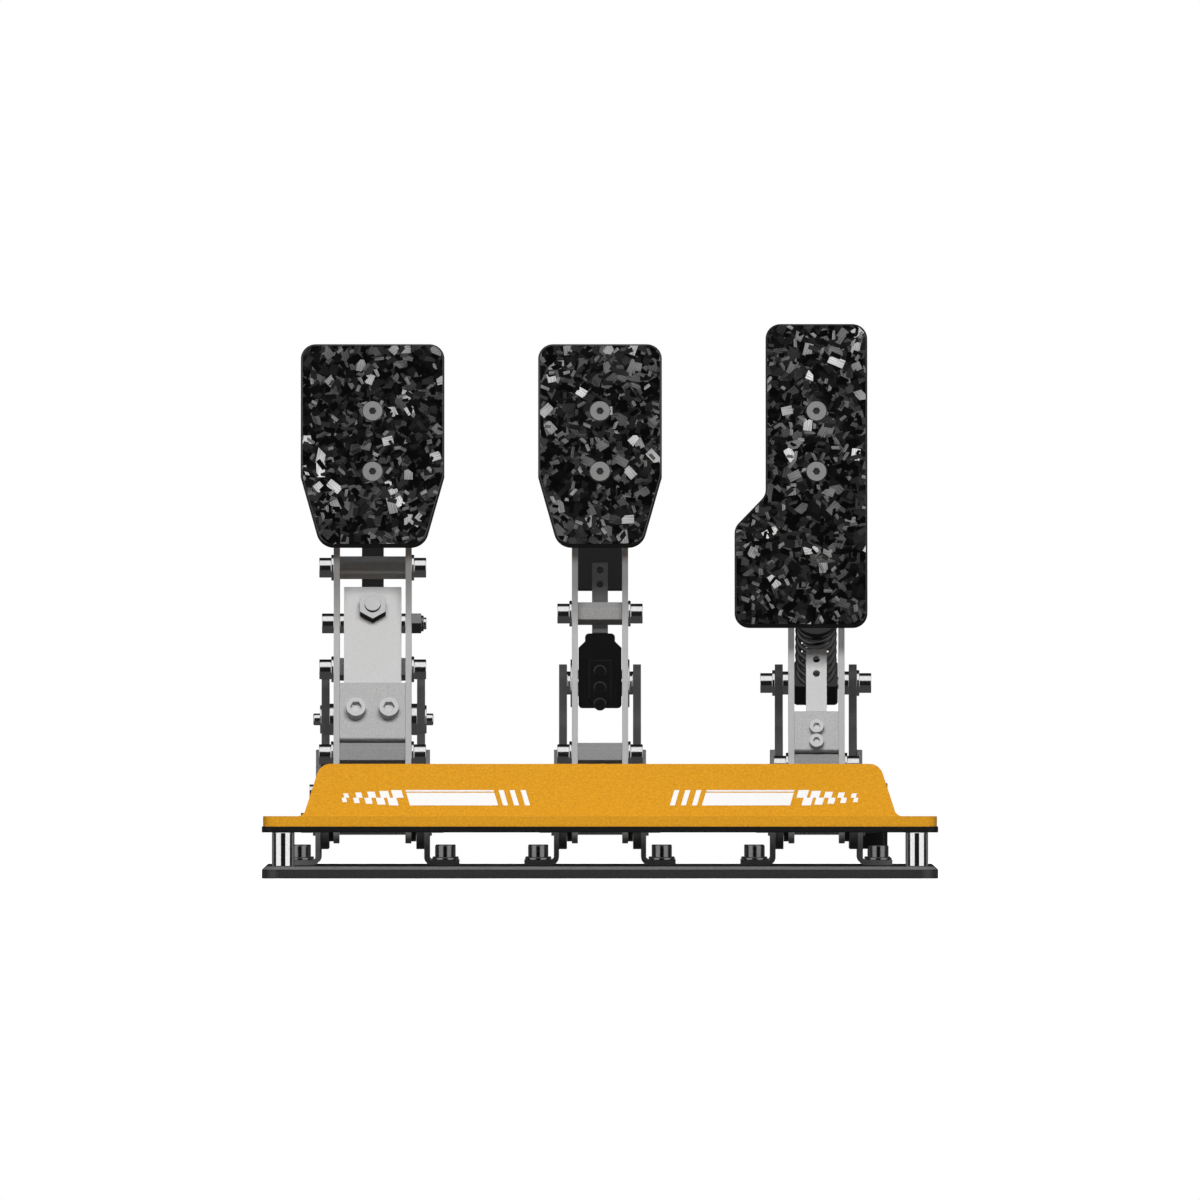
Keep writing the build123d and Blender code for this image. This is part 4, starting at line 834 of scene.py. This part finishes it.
def makeStripes():
    bm = bmesh.new()
    low, high = stripes["low"], stripes["high"]
    row = (high - low) / 2
    for mirror in (-1, 1):
        addStripe(bm, bars["from"], bars["to"], low, high - row * bars["topGapShare"], mirror)
        addStripe(bm, bars["from"], bars["to"], high - row * bars["lineShare"], high, mirror)
        for step in range(slants["count"]):
            x = slants["from"] + step * slants["pitch"]
            addStripe(bm, x, x + slants["width"], low, high, mirror)
        for step in range(blocks["count"]):
            width = blocks["width"] - step * blocks["narrower"]
            less = step * blocks["shorter"]
            x = blocks["from"] + step * blocks["pitch"]
            addStripe(bm, x, x + width, low + row, high - less, mirror)
            addStripe(bm, x + width * blocks["lowFromShare"], x + width * blocks["lowToShare"],
                      low + less, low + row, mirror)
    bmesh.ops.recalc_face_normals(bm, faces=bm.faces)
    finishPiece(bm, "kickStripes", "whitePrint", "base", smooth=False)


makeStripes()
print("stripes printed")

# Rounded ends of the heel plate's lip, turned round the corners of the deck
lip = {"radius": 0.006, "sheet": 0.0025, "inset": 0.00002, "low": 0.0259, "high": 0.0286,
       "from": math.radians(52), "turn": math.radians(38), "steps": 8}


def makeLipCorners():
    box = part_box("heel_plate")
    bm = bmesh.new()
    outer, inner = lip["radius"] - lip["inset"], lip["radius"] - lip["sheet"]
    way = Vector((math.sin(lip["from"]), -math.cos(lip["from"]), 0))
    profile = [(inner, lip["low"]), (outer, lip["low"]), (outer, lip["high"]), (inner, lip["high"])]
    for mirror, edge in ((-1, -box[0][0]), (1, box[1][0])):  # the left one is made first and turned over
        centre = Vector((edge - lip["radius"], box[0][1] + lip["radius"], 0))
        verts = [bm.verts.new(centre + way * radius + Vector((0, 0, height))) for radius, height in profile]
        bmesh.ops.spin(bm, geom=[bm.faces.new(verts)], cent=centre, axis=(0, 0, 1), angle=lip["turn"],
                       steps=lip["steps"], use_merge=False, use_duplicate=False)
        if mirror < 0:
            bmesh.ops.scale(bm, verts=bm.verts, vec=(-1, 1, 1))
    bmesh.ops.recalc_face_normals(bm, faces=bm.faces)
    finishPiece(bm, "lipCorners", "orangePowder", "base", smooth=False)


makeLipCorners()
print("lip corners turned")

# Floor: pale to the camera, dark to the light that it sends back to the object
ground = {"half": 1.6, "below": 0.0001, "roughness": 0.9, "bounce": 0.12, "seen": 0.9, "glow": 0.62}


def makeFloor():
    bm = bmesh.new()
    bmesh.ops.create_grid(bm, x_segments=1, y_segments=1, size=ground["half"])
    mesh = bpy.data.meshes.new("floor")
    bm.to_mesh(mesh)
    bm.free()
    floor = bpy.data.objects.new("floor", mesh)
    floor.location = (0, 0, -ground["below"])
    scene.collection.objects.link(floor)
    material, tree, shader = startMaterial("paleFloor", Roughness=ground["roughness"])[:3]
    shader.inputs["Specular IOR Level"].default_value = 0.0
    path = newNode(tree, "ShaderNodeLightPath", (-600, 300))
    tone = rangeNode(tree, path.outputs["Is Camera Ray"], (-300, 500), To_Min=ground["bounce"],
                     To_Max=ground["seen"])
    join(tree, tone, shader.inputs["Base Color"])
    seen = mathNode(tree, "MAXIMUM", path.outputs["Is Camera Ray"], path.outputs["Is Glossy Ray"])
    shader.inputs["Emission Color"].default_value = (1, 1, 1, 1)
    join(tree, mathNode(tree, "MULTIPLY", seen, ground["glow"]), shader.inputs["Emission Strength"])
    mesh.materials.append(material)


makeFloor()
for piece in scene.objects:  # bare metal shows the soft boxes alone
    if piece.type == "MESH" and piece.name != "softBoxDome":
        piece.visible_glossy = False
print("floor laid")
